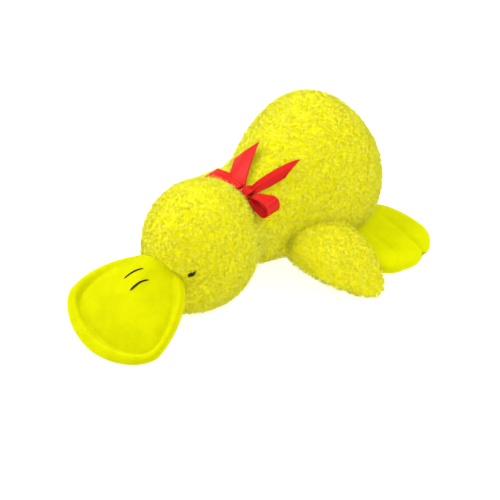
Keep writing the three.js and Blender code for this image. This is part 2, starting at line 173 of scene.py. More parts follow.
def ring_quads(rings: int, sides: int, closed: bool = False) -> Array:
    """Faces between rings of points.

    Args:
        rings: How many rings there are.
        sides: How many points each ring has.
        closed: Whether the last ring joins the first one.

    Returns:
        Four point numbers for each face.
    """
    ring, side = np.meshgrid(np.arange(rings if closed else rings - 1), np.arange(sides), indexing="ij")
    beside = (side + 1) % sides
    near, far = ring * sides, (ring + 1) % rings * sides
    return np.stack([near + side, near + beside, far + beside, far + side], axis=-1).reshape(-1, 4)


def closed_rings(rings: Array, first: Array, last: Array) -> Skin:
    """A closed surface through rings of points, with a single point at each end.

    Args:
        rings: Points of each ring, as rings by sides by 3.
        first: The point before the first ring.
        last: The point after the last ring.

    Returns:
        The surface, facing outward.
    """
    count, sides = rings.shape[:2]
    points = np.vstack([rings.reshape(-1, 3), first[None], last[None]])
    around = np.arange(sides)
    after = (around + 1) % sides
    end = (count - 1) * sides
    cap = np.stack([after, around, np.full(sides, count * sides)], axis=1)
    foot = np.stack([end + around, end + after, np.full(sides, count * sides + 1)], axis=1)
    return Skin(points, ring_quads(count, sides), np.vstack([cap, foot])).outward()


def joined(parts: list[Skin]) -> Skin:
    """Several surfaces as one.

    Args:
        parts: The surfaces.

    Returns:
        One surface with all their points and faces.
    """
    starts = np.cumsum([0, *(len(part.points) for part in parts[:-1])])
    return Skin(
        np.vstack([part.points for part in parts]),
        np.vstack([part.quads + start for part, start in zip(parts, starts, strict=True)]),
        np.vstack([part.triangles + start for part, start in zip(parts, starts, strict=True)]),
        np.concatenate([np.zeros(len(part.points)) if part.tip is None else part.tip for part in parts]),
        np.vstack([part.normals() if part.shading is None else part.shading for part in parts]),
    )


def make_piece(name: str, skin: Skin, material: Material) -> Piece:
    """Makes a smooth-shaded Blender object of a surface.

    Args:
        name: The piece's name.
        skin: Its surface.
        material: What it is made of.

    Returns:
        The object, linked to the scene.
    """
    mesh = bpy.data.meshes.new(name)
    corners = np.concatenate([skin.quads.ravel(), skin.triangles.ravel()]).astype(np.int32)
    sizes = np.repeat([4, 3], [len(skin.quads), len(skin.triangles)])
    mesh.vertices.add(len(skin.points))
    mesh.vertices.foreach_set("co", skin.points.astype(np.float32).ravel())
    mesh.loops.add(len(corners))
    mesh.loops.foreach_set("vertex_index", corners)
    mesh.polygons.add(len(sizes))
    mesh.polygons.foreach_set("loop_start", (np.cumsum(sizes) - sizes).astype(np.int32))
    mesh.polygons.foreach_set("use_smooth", np.ones(len(sizes), bool))
    if skin.tip is not None:
        mesh.attributes.new("tip", "FLOAT", "POINT").data.foreach_set("value", skin.tip.astype(np.float32))
    mesh.update(calc_edges=True)
    mesh.validate()
    if skin.shading is not None:
        mesh.normals_split_custom_set_from_vertices(skin.shading.tolist())
    mesh.materials.append(material)
    piece = bpy.data.objects.new(name, mesh)
    bpy.context.scene.collection.objects.link(piece)
    return piece


def settle(node: bpy.types.Node, **values: float | tuple) -> None:
    """Sets a node's own sockets, with _ for each space in a socket's name."""
    for key, value in values.items():
        node.inputs[key.replace("_", " ")].default_value = value


class Nodes:
    """A material's shader nodes, with short ways to add and link them."""

    def __init__(self, name: str) -> None:
        """Starts a material with its principled shader.

        Args:
            name: The material's name.
        """
        self.material = bpy.data.materials.new(name)
        self.material.use_nodes = True
        self.tree = self.material.node_tree
        self.shader = self.tree.nodes["Principled BSDF"]

    def add(self, kind: str, **values: str) -> bpy.types.Node:
        """Adds a node and sets its own values.

        Args:
            kind: The node's type.
            values: Properties of the node, by name.

        Returns:
            The node.
        """
        node = self.tree.nodes.new(kind)
        for key, value in values.items():
            setattr(node, key, value)
        return node

    def link(self, source: Socket, target: Socket) -> None:
        """Links one socket to another."""
        self.tree.links.new(source, target)

    def paint(self, colour: Socket, socket: str = "Base Color") -> None:
        """Gives a colour to a socket of the shader."""
        self.link(colour, self.shader.inputs[socket])

    def tip(self) -> Socket:
        """The tip value that the mesh carries: 0 at a root or edge, 1 at a tip or on a face."""
        return self.add("ShaderNodeAttribute", attribute_name="tip").outputs["Fac"]

    def noise(self, size: float) -> Socket:
        """Noise in the piece's own place.

        Args:
            size: About how far apart its bumps are.

        Returns:
            The noise's value, from 0 to 1.
        """
        place = self.add("ShaderNodeTexCoord")
        cloud = self.add("ShaderNodeTexNoise")
        settle(cloud, Scale=1 / size, Detail=3.0, Roughness=0.6)
        self.link(place.outputs["Object"], cloud.inputs["Vector"])
        return cloud.outputs["Fac"]

    def ramp(self, value: Socket, stops: dict[float, tuple]) -> Socket:
        """Colours a value.

        Args:
            value: The value to colour.
            stops: A colour for each place from 0 to 1.

        Returns:
            The colour.
        """
        ramp = self.add("ShaderNodeValToRGB")
        elements = ramp.color_ramp.elements
        while len(elements) < len(stops):
            elements.new(0.5)
        for element, (place, colour) in zip(elements, sorted(stops.items()), strict=True):
            element.position = place
            element.color = (*colour, 1)
        self.link(value, ramp.inputs["Fac"])
        return ramp.outputs["Color"]

    def clouds(self, size: float, stops: dict[float, tuple]) -> Socket:
        """Colours noise of a size."""
        return self.ramp(self.noise(size), stops)

    def multiplied(self, one: Socket, other: Socket) -> Socket:
        """Multiplies two colours.

        Args:
            one: The first colour.
            other: The other colour.

        Returns:
            Their product.
        """
        node = self.add("ShaderNodeMix", data_type="RGBA", blend_type="MULTIPLY")
        settle(node, Factor=1.0)
        self.link(one, node.inputs["A"])
        self.link(other, node.inputs["B"])
        return node.outputs["Result"]

    def bump(self, size: float, strength: float, height: float) -> None:
        """Raises the surface's shading by noise.

        Args:
            size: About how far apart the bumps are.
            strength: How much of them shows.
            height: How high they stand.
        """
        bumps = self.noise(size)
        node = self.add("ShaderNodeBump")
        settle(node, Strength=strength, Distance=height)
        self.link(bumps, node.inputs["Height"])
        self.link(node.outputs["Normal"], self.shader.inputs["Normal"])

    def face_out(self) -> None:
        """Shades the back of each fibre like its front, so that thin fibres pass the light on."""
        geometry = self.add("ShaderNodeNewGeometry")
        turn = self.add("ShaderNodeMath", operation="MULTIPLY_ADD")
        turn.inputs[1].default_value = -2.0
        turn.inputs[2].default_value = 1.0
        self.link(geometry.outputs["Backfacing"], turn.inputs[0])
        outward = self.add("ShaderNodeVectorMath", operation="SCALE")
        self.link(geometry.outputs["Normal"], outward.inputs[0])
        self.link(turn.outputs[0], outward.inputs["Scale"])
        self.link(outward.outputs[0], self.shader.inputs["Normal"])


@dataclass(frozen=True)
class PlushFinish:
    """Curly short pile: deeper yellow at the roots, partly the fibres' own tone and partly painted shade deep
    in the pile; pale at the tips of the curls, with a painted highlight on the palest tips and strays, and a
    painted glow strongest at the roots.
    """

    # Deeper root colour: partly the fibres' own tone, partly painted shade deep in the pile.
    root: tuple = (0.665, 0.59, 0.001)
    middle: tuple = (0.80, 0.785, 0.002)
    tip: tuple = (0.91, 0.91, 0.10)
    # Palest colour, on the strays and the palest tips: a painted highlight.
    stray: tuple = (0.94, 0.93, 0.24)
    # Painted glow, stronger at the roots than the tips: stands in for light passing through the fibres.
    root_painted_glow: tuple = (0.20, 0.18, 0.001)
    tip_painted_glow: tuple = (0.085, 0.08, 0.001)
    clump_shade: tuple = (0.95, 0.945, 0.75)
    clump_size: float = 3.4 * MM
    patch_shade: tuple = (0.95, 0.945, 0.8)
    patch_size: float = 16 * MM

    def material(self) -> Material:
        """Makes the finish.

        Returns:
            The material, coloured by the mesh's tip value.
        """
        nodes = Nodes("curly_plush")
        tip = nodes.tip()
        # Colour by tip value: the deeper root colour is partly the fibres' own tone and partly painted shade
        # deep in the pile; the palest colour at the very top is a painted highlight.
        pile = nodes.ramp(tip, {0.0: self.root, 0.45: self.middle, 0.85: self.tip, 1.0: self.stray})
        clumps = nodes.clouds(self.clump_size, {0.38: self.clump_shade, 0.62: WHITE})
        patches = nodes.clouds(self.patch_size, {0.35: self.patch_shade, 0.65: WHITE})
        nodes.paint(nodes.multiplied(nodes.multiplied(pile, clumps), patches))
        # Painted glow: emission that lifts the shade between the tufts, strongest at the roots.
        nodes.paint(nodes.ramp(tip, {0.1: self.root_painted_glow, 0.7: self.tip_painted_glow}), "Emission Color")
        nodes.face_out()
        settle(nodes.shader, Roughness=0.95, Specular_IOR_Level=0.05, Sheen_Weight=0.22, Sheen_Roughness=0.4,
               Sheen_Tint=(1.0, 0.97, 0.2, 1.0), Emission_Strength=1.0)
        return nodes.material


@dataclass(frozen=True)
class SmoothPlushFinish:
    """Short smooth pile of the bill and feet, brushed in soft patches."""

    name: str = "smooth_plush"
    shade: tuple = (0.47, 0.485, 0.0)
    light: tuple = (0.52, 0.53, 0.0)
    patch_size: float = 16 * MM
    pile_shade: tuple = (0.90, 0.90, 0.7)
    pile_size: float = 0.7 * MM
    pile_strength: float = 0.35
    pile_height: float = 0.2 * MM

    def material(self) -> Material:
        """Makes the finish.

        Returns:
            The material.
        """
        nodes = Nodes(self.name)
        patches = nodes.clouds(self.patch_size, {0.35: self.shade, 0.6: self.light})
        pile = nodes.clouds(self.pile_size, {0.3: self.pile_shade, 0.6: WHITE})
        nodes.paint(nodes.multiplied(patches, pile))
        nodes.bump(self.pile_size, self.pile_strength, self.pile_height)
        settle(nodes.shader, Roughness=0.95, Specular_IOR_Level=0.02, Sheen_Weight=0.15, Sheen_Roughness=0.5,
               Sheen_Tint=(1.0, 1.0, 0.05, 1.0), Subsurface_Weight=0.2, Subsurface_Scale=2 * MM,
               Subsurface_Radius=(1.0, 0.95, 0.02))
        return nodes.material


@dataclass(frozen=True)
class SatinFinish:
    """Red satin ribbon, a little darker along its woven edge."""

    edge: tuple = (0.42, 0.001, 0.003)
    face: tuple = (0.52, 0.006, 0.004)
    weave_size: float = 0.5 * MM
    weave_strength: float = 0.1
    weave_height: float = 0.1 * MM

    def material(self) -> Material:
        """Makes the finish.

        Returns:
            The material, coloured by the mesh's tip value.
        """
        nodes = Nodes("red_satin")
        nodes.paint(nodes.ramp(nodes.tip(), {0.0: self.edge, 0.3: self.face}))
        nodes.bump(self.weave_size, self.weave_strength, self.weave_height)
        settle(nodes.shader, Roughness=0.45, Specular_IOR_Level=0.13, Anisotropic=0.4)
        return nodes.material


@dataclass(frozen=True)
class ThreadFinish:
    """Near-black embroidery thread with a dull shine."""

    dark: tuple = (0.006, 0.005, 0.001)
    light: tuple = (0.022, 0.017, 0.004)
    ply_size: float = 0.5 * MM
    ply_strength: float = 0.4
    ply_height: float = 0.1 * MM

    def material(self) -> Material:
        """Makes the finish.

        Returns:
            The material.
        """
        nodes = Nodes("dark_thread")
        nodes.paint(nodes.clouds(self.ply_size, {0.3: self.dark, 0.7: self.light}))
        nodes.bump(self.ply_size, self.ply_strength, self.ply_height)
        settle(nodes.shader, Roughness=0.7, Specular_IOR_Level=0.12)
        return nodes.material


@dataclass
class Covered:
    """What covers a skin, so that no pile grows inside it or under it."""

    solids: list[BVHTree] = field(default_factory=list)
    sheets: list[tuple[BVHTree, float]] = field(default_factory=list)

    def hides(self, point: Array) -> bool:
        """Tells whether a point is covered.

        Args:
            point: The point.

        Returns:
            True inside a covering solid or close under a sheet.
        """
        spot = Vector(point)
        for tree in self.solids:
            place, normal, _, _ = tree.find_nearest(spot)
            if (spot - place).dot(normal) < 0:
                return True
        return any(tree.find_nearest(spot, reach)[0] for tree, reach in self.sheets)


@dataclass
class Pile:
    """The short curly pile on a plush skin: tufts of fine fibres, with strays that soften the outline.

    A tuft rises along its lean to a knee and curls forward to its crown: both are shares of its length.
    """

    spacing: float = 2.5 * MM
    tries_each: int = 3
    length: float = 4.2 * MM
    shortest: float = 0.65
    unevenness: float = 0.6
    tuft_radius: float = 1.7 * MM
    tip_radius: float = 0.9 * MM
    knee_narrowing: float = 0.4
    knee_rise: float = 0.62
    knee_back: float = 0.05
    crown_rise: float = 0.72
    crown_forward: float = 0.55
    curl: float = 0.75
    grain: tuple = (0.3, 0.5, 0.81)
    fibres: int = 10
    fibre_width: float = 0.32 * MM
    fibre_twist: float = 0.6
    rooted: float = 0.3 * MM
    loose_knee: float = 0.25 * MM
    loose_tip: float = 0.5 * MM
    swirl: float = 0.45
    swirl_size: float = 7 * MM
    swirl_seed: int = 1
    scatter: float = 0.45
    lean_shading: float = 0.5
    round_shading: float = 0.4
    rough_shading: float = 0.06
    # Tip values along a blade, root to tip: low values take the deeper root colour, partly painted shade deep
    # in the pile.
    tones: tuple = (0.0, 0.0, 0.5, 0.5, 1.0)
    tuft_pallor: float = 0.16
    fibre_pallor: float = 0.06
    fuzz_share: float = 2.2
    fuzz_length: float = 6.8 * MM
    fuzz_shortest: float = 0.5
    fuzz_width: float = 0.13 * MM
    fuzz_scatter: float = 0.3
    fuzz_bend: float = 0.25
    fuzz_knee: float = 0.6
    fuzz_straightening: float = 0.2
    fuzz_tones: tuple = (0.4, 0.4, 0.8, 0.8, 1.0)
    fuzz_pallor: float = 0.15
    floor: float = 0.2 * MM

    def scattered(self, skin: Skin, spacing: float, rng: np.random.Generator,
                  covered: Covered) -> tuple[Array, Array]:
        """Spreads roots evenly over a skin.

        Args:
            skin: What the pile grows on.
            spacing: About how far apart the roots are.
            rng: Where the random draws come from.
            covered: What no pile grows inside.

        Returns:
            The roots and the way that the skin faces there.
        """
        cut = skin.all_triangles()
        facing = skin.normals()[cut]
        a, b, c = skin.corners()
        areas = np.linalg.norm(np.cross(b - a, c - a), axis=1) / 2
        tries = int(self.tries_each * areas.sum() / spacing**2)
        chosen = rng.choice(len(cut), tries, p=areas / areas.sum())
        share = rng.random((tries, 2))
        share = np.where(share.sum(1, keepdims=True) > 1, 1 - share, share)
        weight = np.column_stack([1 - share.sum(1), share])[:, :, None]
        roots = (skin.points[cut][chosen] * weight).sum(1)
        normals = unit((facing[chosen] * weight).sum(1))
        cells = np.floor(roots / spacing + rng.random(3)).astype(int)
        _, first = np.unique(cells, axis=0, return_index=True)
        kept = [k for k in np.sort(first) if roots[k][2] > self.floor and not covered.hides(roots[k])]
        return roots[kept], normals[kept]

    def leans(self, roots: Array, normals: Array, rng: np.random.Generator) -> Array:
        """The way that each tuft leans: off the skin, brushed in swirls, with some scatter.

        Args:
            roots: The middles of the tufts.
            normals: The way that the skin faces there.
            rng: Where the random draws come from.

        Returns:
            A vector of length one for each tuft.
        """
        noise.seed_set(self.swirl_seed)
        brushed = np.array([noise.noise_vector(Vector(root) / self.swirl_size) for root in roots])
        return unit(normals + self.swirl * brushed + self.scatter * rng.normal(size=roots.shape))

    def blades(self, line: tuple[Array, Array, Array], across: Array, tones: Array, shading: Array) -> Skin:
        """Fibres as thin blades, each a quad from its root to its bend and a triangle on to its tip.

        Args:
            line: Root, bend and tip of each blade.
            across: From its middle line to its edge.
            tones: The tip values of its five points.
            shading: The way that it shades.

        Returns:
            The blades as one surface, clear of the floor.
        """
        root, bend, tip = line
        points = np.stack([root - across, root + across, bend + across, bend - across, tip], axis=-2)
        points = above(points.reshape(-1, 3), self.floor)
        start = np.arange(0, len(points), BLADE_POINTS)[:, None]
        return Skin(points, start + [0, 1, 2, 3], start + [3, 2, 4], np.clip(tones, 0, 1).ravel(),
                    np.repeat(shading.reshape(-1, 3), BLADE_POINTS, axis=0))

    def tufts(self, roots: Array, normals: Array, rng: np.random.Generator) -> Skin:
        """A tuft of fibres round each root, drawn together and curled over toward their tips.

        Args:
            roots: The middles of the tufts.
            normals: The way that the skin faces there.
            rng: Where the random draws come from.

        Returns:
            The tufts as one surface.
        """
        count, fibres = len(roots), self.fibres
        lean = self.leans(roots, normals, rng)
        forward = unit(np.cross(lean, rng.normal(size=(count, 3))))
        length = self.length * (self.shortest + self.unevenness * rng.random(count))[:, None]
        crown = roots + lean * length * self.crown_rise + forward * length * self.curl * self.crown_forward
        knee = roots + lean * length * self.knee_rise - forward * length * self.knee_back
        side = unit(np.cross(normals, np.array(self.grain)))
        other = np.cross(normals, side)
        angle = rng.random((count, fibres, 1)) * TURN
        away = np.sqrt(rng.random((count, fibres, 1)))
        offset = (np.cos(angle) * side[:, None] + np.sin(angle) * other[:, None]) * away
        base = roots[:, None] + offset * self.tuft_radius - normals[:, None] * self.rooted
        jitter = rng.normal(size=(count, fibres, 3))
        bend_radius = mix(self.tuft_radius, self.tip_radius, self.knee_narrowing)
        bend = knee[:, None] + offset * bend_radius + jitter * self.loose_knee
        tip = crown[:, None] + offset * self.tip_radius + rng.normal(size=(count, fibres, 3)) * self.loose_tip
        across = unit(np.cross(unit(tip - base), normals[:, None] + self.fibre_twist * jitter))
        shading = unit(normals[:, None] + self.lean_shading * (lean - normals)[:, None]
                       + self.round_shading * offset + self.rough_shading * jitter)
        pale = rng.normal(0, self.tuft_pallor, size=(count, 1, 1))
        pale = pale + rng.normal(0, self.fibre_pallor, size=(count, fibres, 1))
        return self.blades((base, bend, tip), across * self.fibre_width / 2, pale + self.tones, shading)

    def fuzz(self, roots: Array, normals: Array, rng: np.random.Generator) -> Skin:
        """Fine stray fibres that soften the outline.

        Args:
            roots: Where the fibres start.
            normals: The way that the skin faces there.
            rng: Where the random draws come from.

        Returns:
            The fibres as one surface.
        """
        count = len(roots)
        lean = unit(self.leans(roots, normals, rng) + self.fuzz_scatter * rng.normal(size=(count, 3)))
        across = unit(np.cross(lean, rng.normal(size=(count, 3)))) * self.fuzz_width / 2
        length = self.fuzz_length * (self.fuzz_shortest + self.unevenness * rng.random(count))[:, None]
        aside = unit(rng.normal(size=(count, 3))) * length * self.fuzz_bend
        bend = roots + lean * length * self.fuzz_knee + aside
        tip = roots + lean * length + aside * self.fuzz_straightening
        pale = rng.normal(0, self.fuzz_pallor, size=(count, 1))
        return self.blades((roots, bend, tip), across, pale + self.fuzz_tones, normals)


@dataclass
class Fur:
    """Curly plush on a stuffed part: cloth raised into lumps, and the pile that stands on it."""

    plush: Material
    seed: int
    lumps: float
    pile: Pile = field(default_factory=Pile)
    lump_size: float = 2.6 * MM
    lump_height: float = LUMP_HEIGHT
    lump_fullness: float = 2.2
    lump_painted_light: float = 0.4
    triangles_per_fibre: int = 3
    most_triangles: int = 180_000

    def cloth(self, skin: Skin) -> Skin:
        """Raises a skin into round lumps, like the short curls close to the cloth.

        Args:
            skin: The smooth skin.

        Returns:
            The lumpy skin, with its tip values by height: darker low between the lumps, partly the cloth's
            own deeper tone and partly painted shade, and lighter on their tops.
        """
        lump = np.minimum(1, np.abs(rough(skin.points, self.lump_size, self.lumps)) * self.lump_fullness)
        points = above(skin.points + skin.normals() * (self.lump_height * lump)[:, None])
        # Tip value by height: painted shade low between the lumps, lighter on their tops.
        return Skin(points, skin.quads, skin.triangles, self.lump_painted_light * lump)

    def pieces(self, name: str, skin: Skin, covered: Covered) -> list[Piece]:
        """Makes the cloth and the pile of a part, the pile in as many pieces as its faces need.

        Args:
            name: What the pieces' names start with.
            skin: What the pile grows on.
            covered: What no pile grows inside.

        Returns:
            The cloth, and after it the pile.
        """
        made = [make_piece(f"{name}_plush", self.cloth(skin), self.plush)]
        rng = np.random.default_rng(self.seed)
        pile = self.pile
        roots, normals = pile.scattered(skin, pile.spacing, rng, covered)
        strays, stray_normals = pile.scattered(skin, pile.spacing / math.sqrt(pile.fuzz_share), rng, covered)
        triangles = len(roots) * self.triangles_per_fibre * (pile.fibres + pile.fuzz_share)
        count = max(1, math.ceil(triangles / self.most_triangles))
        bands = [np.array_split(np.argsort(spots[:, 1], kind="stable"), count) for spots in (roots, strays)]
        for number, (band, stray_band) in enumerate(zip(*bands, strict=True), start=1):
            tufts = pile.tufts(roots[band], normals[band], rng)
            fuzz = pile.fuzz(strays[stray_band], stray_normals[stray_band], rng)
            made.append(make_piece(f"{name}_pile_{number}", joined([tufts, fuzz]), self.plush))
        return made


def stuff(pieces: list[Piece], body: str) -> list[Piece]:
    """Makes a cloth and its pile the stuffed cover of a body.

    Args:
        pieces: The cloth, and after it the pile.
        body: The body that they ride on, whose name its nodes start with.

    Returns:
        The same pieces.
    """
    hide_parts(f"{body}_cover", f"{body}_filling")
    for piece in pieces:
        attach(piece, body)
    return pieces


@dataclass
class TorsoForm:
    """The torso's shape: widest low over the belly, round behind, drawn in to the neck."""

    rear_length: float = 68.3 * MM
    front_length: float = 121 * MM
    rear_tip_rise: float = 53 * MM
    neck_radius: float = 40 * MM
    neck_rise: float = 62 * MM
    floor_flat: float = 0.5 * MM
    widest_share: float = 0.42
    belly_power: float = 2.6
    back_power: float = 1.93
    flank_taper: float = 1.9
    back_taper: float = 1.55
    belly_taper: float = 0.62
    rump_power: float = 1.74
    rise: float = 7.5 * MM
    girth: float = -2 * MM

    def __post_init__(self) -> None:
        """Takes the torso's place and overall sizes from the frame."""
        low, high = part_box("torso_cover")
        self.width = high.x - low.x + self.girth
        self.height = high.z + self.rise
        self.neck_y = low.y
        self.rump_y = self.neck_y + self.front_length

    def section(self, y: Array) -> tuple[Array, Array, Array, Array]:
        """The torso's cross-section.

        Args:
            y: Distances behind the rump's middle.

        Returns:
            Half the width, the top, the bottom and the height of the widest line.
        """
        half = self.width / 2
        widest = mix(-self.floor_flat, self.height, self.widest_share)
        behind = np.clip(y / self.rear_length, 0, 1)
        bulge = np.sqrt(1 - behind**2)
        rump = (1 - behind**self.rump_power) ** (1 / self.rump_power)
        before = np.cos(np.clip(-y / self.front_length, 0, 1) * QUARTER)
        rear = y > 0
        width = np.where(rear, half * bulge, mix(self.neck_radius, half, before**self.flank_taper))
        top = np.where(rear, mix(self.rear_tip_rise, self.height, rump),
                       mix(self.neck_rise + self.neck_radius, self.height, before**self.back_taper))
        bottom = np.where(rear, mix(self.rear_tip_rise, -self.floor_flat, bulge),
                          mix(self.neck_rise - self.neck_radius, -self.floor_flat, before**self.belly_taper))
        line = np.where(rear, mix(self.rear_tip_rise, widest, bulge), mix(self.neck_rise, widest, before))
        return width, np.maximum(top, line), bottom, line

    def place(self, y: Array, around: Array, inset: float) -> Array:
        """Points of the torso's skin.

        Args:
            y: Distances behind the rump's middle.
            around: Angles round the body, 0 on the duck's left.
            inset: How far inside the skin they lie.

        Returns:
            The points, in the row's frame.
        """
        width, top, bottom, line = self.section(y)
        belly = np.sin(around) < 0
        power = 2 / np.where(belly, self.belly_power, self.back_power)
        rise = np.where(belly, line - bottom, top - line) - inset
        x = (width - inset) * signed_power(np.cos(around), power)
        z = line + rise * signed_power(np.sin(around), power)
        return above(np.stack([x, y + self.rump_y, z], axis=-1))


@dataclass
class Torso:
    """The stuffed body under its curly pile."""

    plush: Material
    form: TorsoForm
    inset: float = 3.0 * MM
    rings: int = 124
    sides: int = 270
    pole_share: float = 0.02
    groove_radius: float = 37.4 * MM
    groove_end: float = 14 * MM
    groove_slope: float = 2 * MM

    def grooved(self, points: Array) -> Array:
        """Draws the neck's end in under the ribbon's band.

        Args:
            points: Points of the skin.

        Returns:
            The same points, those near the neck no further out than the groove.
        """
        x, y, z = points.T
        z = z - self.form.neck_rise
        pull = np.clip((self.groove_end - (y - self.form.neck_y)) / self.groove_slope, 0, 1)
        scale = mix(1, np.minimum(1, self.groove_radius / np.maximum(np.hypot(x, z), MM)), pull)
        return np.column_stack([x * scale, y, z * scale + self.form.neck_rise])

    def skin(self) -> Skin:
        """Makes the cloth under the pile.

        Returns:
            The smooth skin.
        """
        form = self.form
        front = np.linspace(-form.front_length, 0, self.rings // 2, endpoint=False)
        angle = np.linspace(0, QUARTER * (1 - 2 * self.pole_share), self.rings - self.rings // 2)
        y = np.concatenate([front, (form.rear_length - self.inset) * np.sin(angle)])
        rings = form.place(*np.meshgrid(y, angles(self.sides), indexing="ij"), self.inset)
        first = np.array([0, form.neck_y, form.neck_rise])
        last = np.array([0, form.rump_y + form.rear_length - self.inset, form.rear_tip_rise])
        skin = closed_rings(rings, first, last)
        skin.points = self.grooved(skin.points)
        return skin

    def build(self, covered: Covered) -> list[Piece]:
        """Makes the torso's cloth and pile, where nothing covers them."""
        return stuff(Fur(self.plush, seed=11, lumps=1.0).pieces("torso", self.skin(), covered), "torso")


@dataclass
class Head:
    """The stuffed head: a tall ball with a flatter jaw, open toward the neck."""

    plush: Material
    depth: float = 118 * MM
    jaw_power: float = 2.2
    chin: tuple = (0.0, -48 * MM, 20 * MM)
    chin_height: float = 9 * MM
    chin_width: float = 34 * MM
    lift: float = 3 * MM
    girth: float = -7.5 * MM
    tallness: float = 3.2 * MM
    yaw: float = math.radians(2.4)
    eye_spacing: float = 71 * MM
    eye_rise: float = 73 * MM
    dimple_depth: float = 3.4 * MM
    dimple_width: float = 4.6 * MM
    crease: tuple = (-4 * MM, -8 * MM, -10 * MM)
    inset: float = 3.0 * MM
    rings: int = 110
    sides: int = 250
    pole_share: float = 0.02

    def __post_init__(self) -> None:
        """Takes the head's place and overall sizes from the frame."""
        low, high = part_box("head_cover")
        self.width = high.x - low.x + self.girth
        self.middle_y = low.y + self.depth / 2
        self.middle_z = (high.z - low.z) / 2 + self.lift
        self.half_height = (high.z - low.z) / 2 + self.tallness
        self.neck_y = high.y

    def turned(self, points: Array) -> Array:
        """Turns points with the head, which looks a little to one side.

        Args:
            points: Points of the head before it turns.

        Returns:
            The points, in the row's frame.
        """
        cos, sin = math.cos(self.yaw), math.sin(self.yaw)
        x, y = points[..., 0], points[..., 1] - self.middle_y
        return np.stack([x * cos + y * sin, y * cos - x * sin + self.middle_y, points[..., 2]], axis=-1)

    def eye(self, side: Side) -> Array:
        """Finds the middle of an eye on the head, before the head turns.

        Args:
            side: Which eye.

        Returns:
            The point.
        """
        x, z = self.eye_spacing / 2, self.eye_rise - self.middle_z
        bulge = math.sqrt(1 - (x / (self.width / 2)) ** 2 - (z / self.half_height) ** 2)
        return np.array([side.value * x, self.middle_y - self.depth / 2 * bulge, self.eye_rise])

    def dimpled(self, points: Array) -> Array:
        """Pulls the cloth in round each eye and down to the corner of the bill, and fills the chin out.

        Args:
            points: Points of the plain ball.

        Returns:
            The points, moved toward the head's middle or away from it.
        """
        centre = np.array([0, self.middle_y, self.middle_z])
        pull = np.zeros(points.shape[:-1])
        for side in Side:
            start = self.eye(side)
            run = side.mirrored(np.array(self.crease))
            share = np.clip((points - start) @ run / (run @ run), 0, 1)
            away = np.linalg.norm(points - start - share[..., None] * run, axis=-1)
            pull += self.dimple_depth * np.exp(-((away / self.dimple_width) ** 2))
        chin = np.array(self.chin) + np.array([0, self.middle_y, 0])
        pull -= self.chin_height * np.exp(-((np.linalg.norm(points - chin, axis=-1) / self.chin_width) ** 2))
        return points + unit(centre - points) * pull[..., None]

    def skin(self) -> Skin:
        """Makes the cloth under the pile.

        Returns:
            The smooth skin.
        """
        half_depth = self.depth / 2
        end_share = math.acos((self.middle_y - self.neck_y) / half_depth) / math.pi
        polar = np.linspace(self.pole_share, end_share, self.rings) * math.pi
        polar, around = np.meshgrid(polar, angles(self.sides), indexing="ij")
        side = np.sin(polar) * np.cos(around)
        rise = np.sin(polar) * np.sin(around)
        power = np.where(rise < 0, self.jaw_power, 2.0)
        full = np.hypot(side, rise) / (np.abs(side) ** power + np.abs(rise) ** power) ** (1 / power)
        x = (self.width / 2 - self.inset) * side * full
        y = self.middle_y - (half_depth - self.inset) * np.cos(polar)
        z = self.middle_z + (self.half_height - self.inset) * rise * full
        rings = above(self.dimpled(above(np.stack([x, y, z], axis=-1))))
        first = np.array([0, self.middle_y - half_depth + self.inset, self.middle_z])
        last = np.array([0, self.neck_y, self.middle_z])
        return closed_rings(self.turned(rings), self.turned(first), self.turned(last))

    def build(self, covered: Covered) -> list[Piece]:
        """Makes the head's cloth and pile, where nothing covers them."""
        return stuff(Fur(self.plush, seed=23, lumps=2.0).pieces("head", self.skin(), covered), "head")


@dataclass
class Neck:
    """The short plush neck between torso and head, mostly under the band."""

    plush: Material
    form: TorsoForm
    radius: float = 36.6 * MM
    from_y: float = 7.0 * MM
    to_y: float = -37.0 * MM
    bend_share: float = 0.7
    rings: int = 34
    sides: int = 96

    def build(self, covered: Covered) -> list[Piece]:
        """Makes the neck's cloth and pile, a straight tube between torso and head.

        Args:
            covered: Where no pile grows.

        Returns:
            The pieces.
        """
        rise = self.form.neck_rise
        y = np.linspace(self.to_y, self.from_y, self.rings)
        y, around = np.meshgrid(y, angles(self.sides), indexing="ij")
        points = np.stack([self.radius * np.cos(around), y, rise + self.radius * np.sin(around)], axis=-1)
        ends = [np.array([0, end, rise]) for end in (self.to_y, self.from_y)]
        pile = Pile(length=5.4 * MM, spacing=2.6 * MM)
        fur = Fur(self.plush, seed=5, lumps=4.0, pile=pile, lump_height=LUMP_HEIGHT / 2)
        pieces = fur.pieces("neck", closed_rings(points, *ends), covered)
        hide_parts("neck_filling")
        for piece in pieces:
            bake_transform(piece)
        return pieces


@dataclass(frozen=True)
class Outline:
    """The flat outline that bill, wings and feet share, a across and b forward from the root."""

    length: float
    width: float
    root_width: float
    tip_share: float
    widest_share: float
    front_power: float
    root_power: float = 8.0
    side_power: float = 2.0
    taper_power: float = 2.0

    def edge(self, around: Array) -> tuple[Array, Array]:
        """Points of the outline.

        Args:
            around: Angles round it, 0 at the root.

        Returns:
            Their places across and forward.
        """
        forward = -np.cos(around)
        edge = np.sin(around)
        widest = self.length * self.widest_share
        front = np.maximum(forward, 0)
        rear = np.minimum(forward, 0)
        front_width = self.width / 2 * mix(1, self.tip_share, front**self.taper_power)
        rear_width = mix(self.width, self.root_width, np.abs(rear) ** self.side_power) / 2
        closing = np.sqrt(1 - np.abs(rear) ** self.root_power)
        power = 2 / self.front_power
        a = np.where(forward > 0, front_width * signed_power(edge, power),
                     rear_width * closing * np.sign(edge))
        b = np.where(forward > 0, mix(widest, self.length, front**power), widest * (1 + rear))
        return a, b


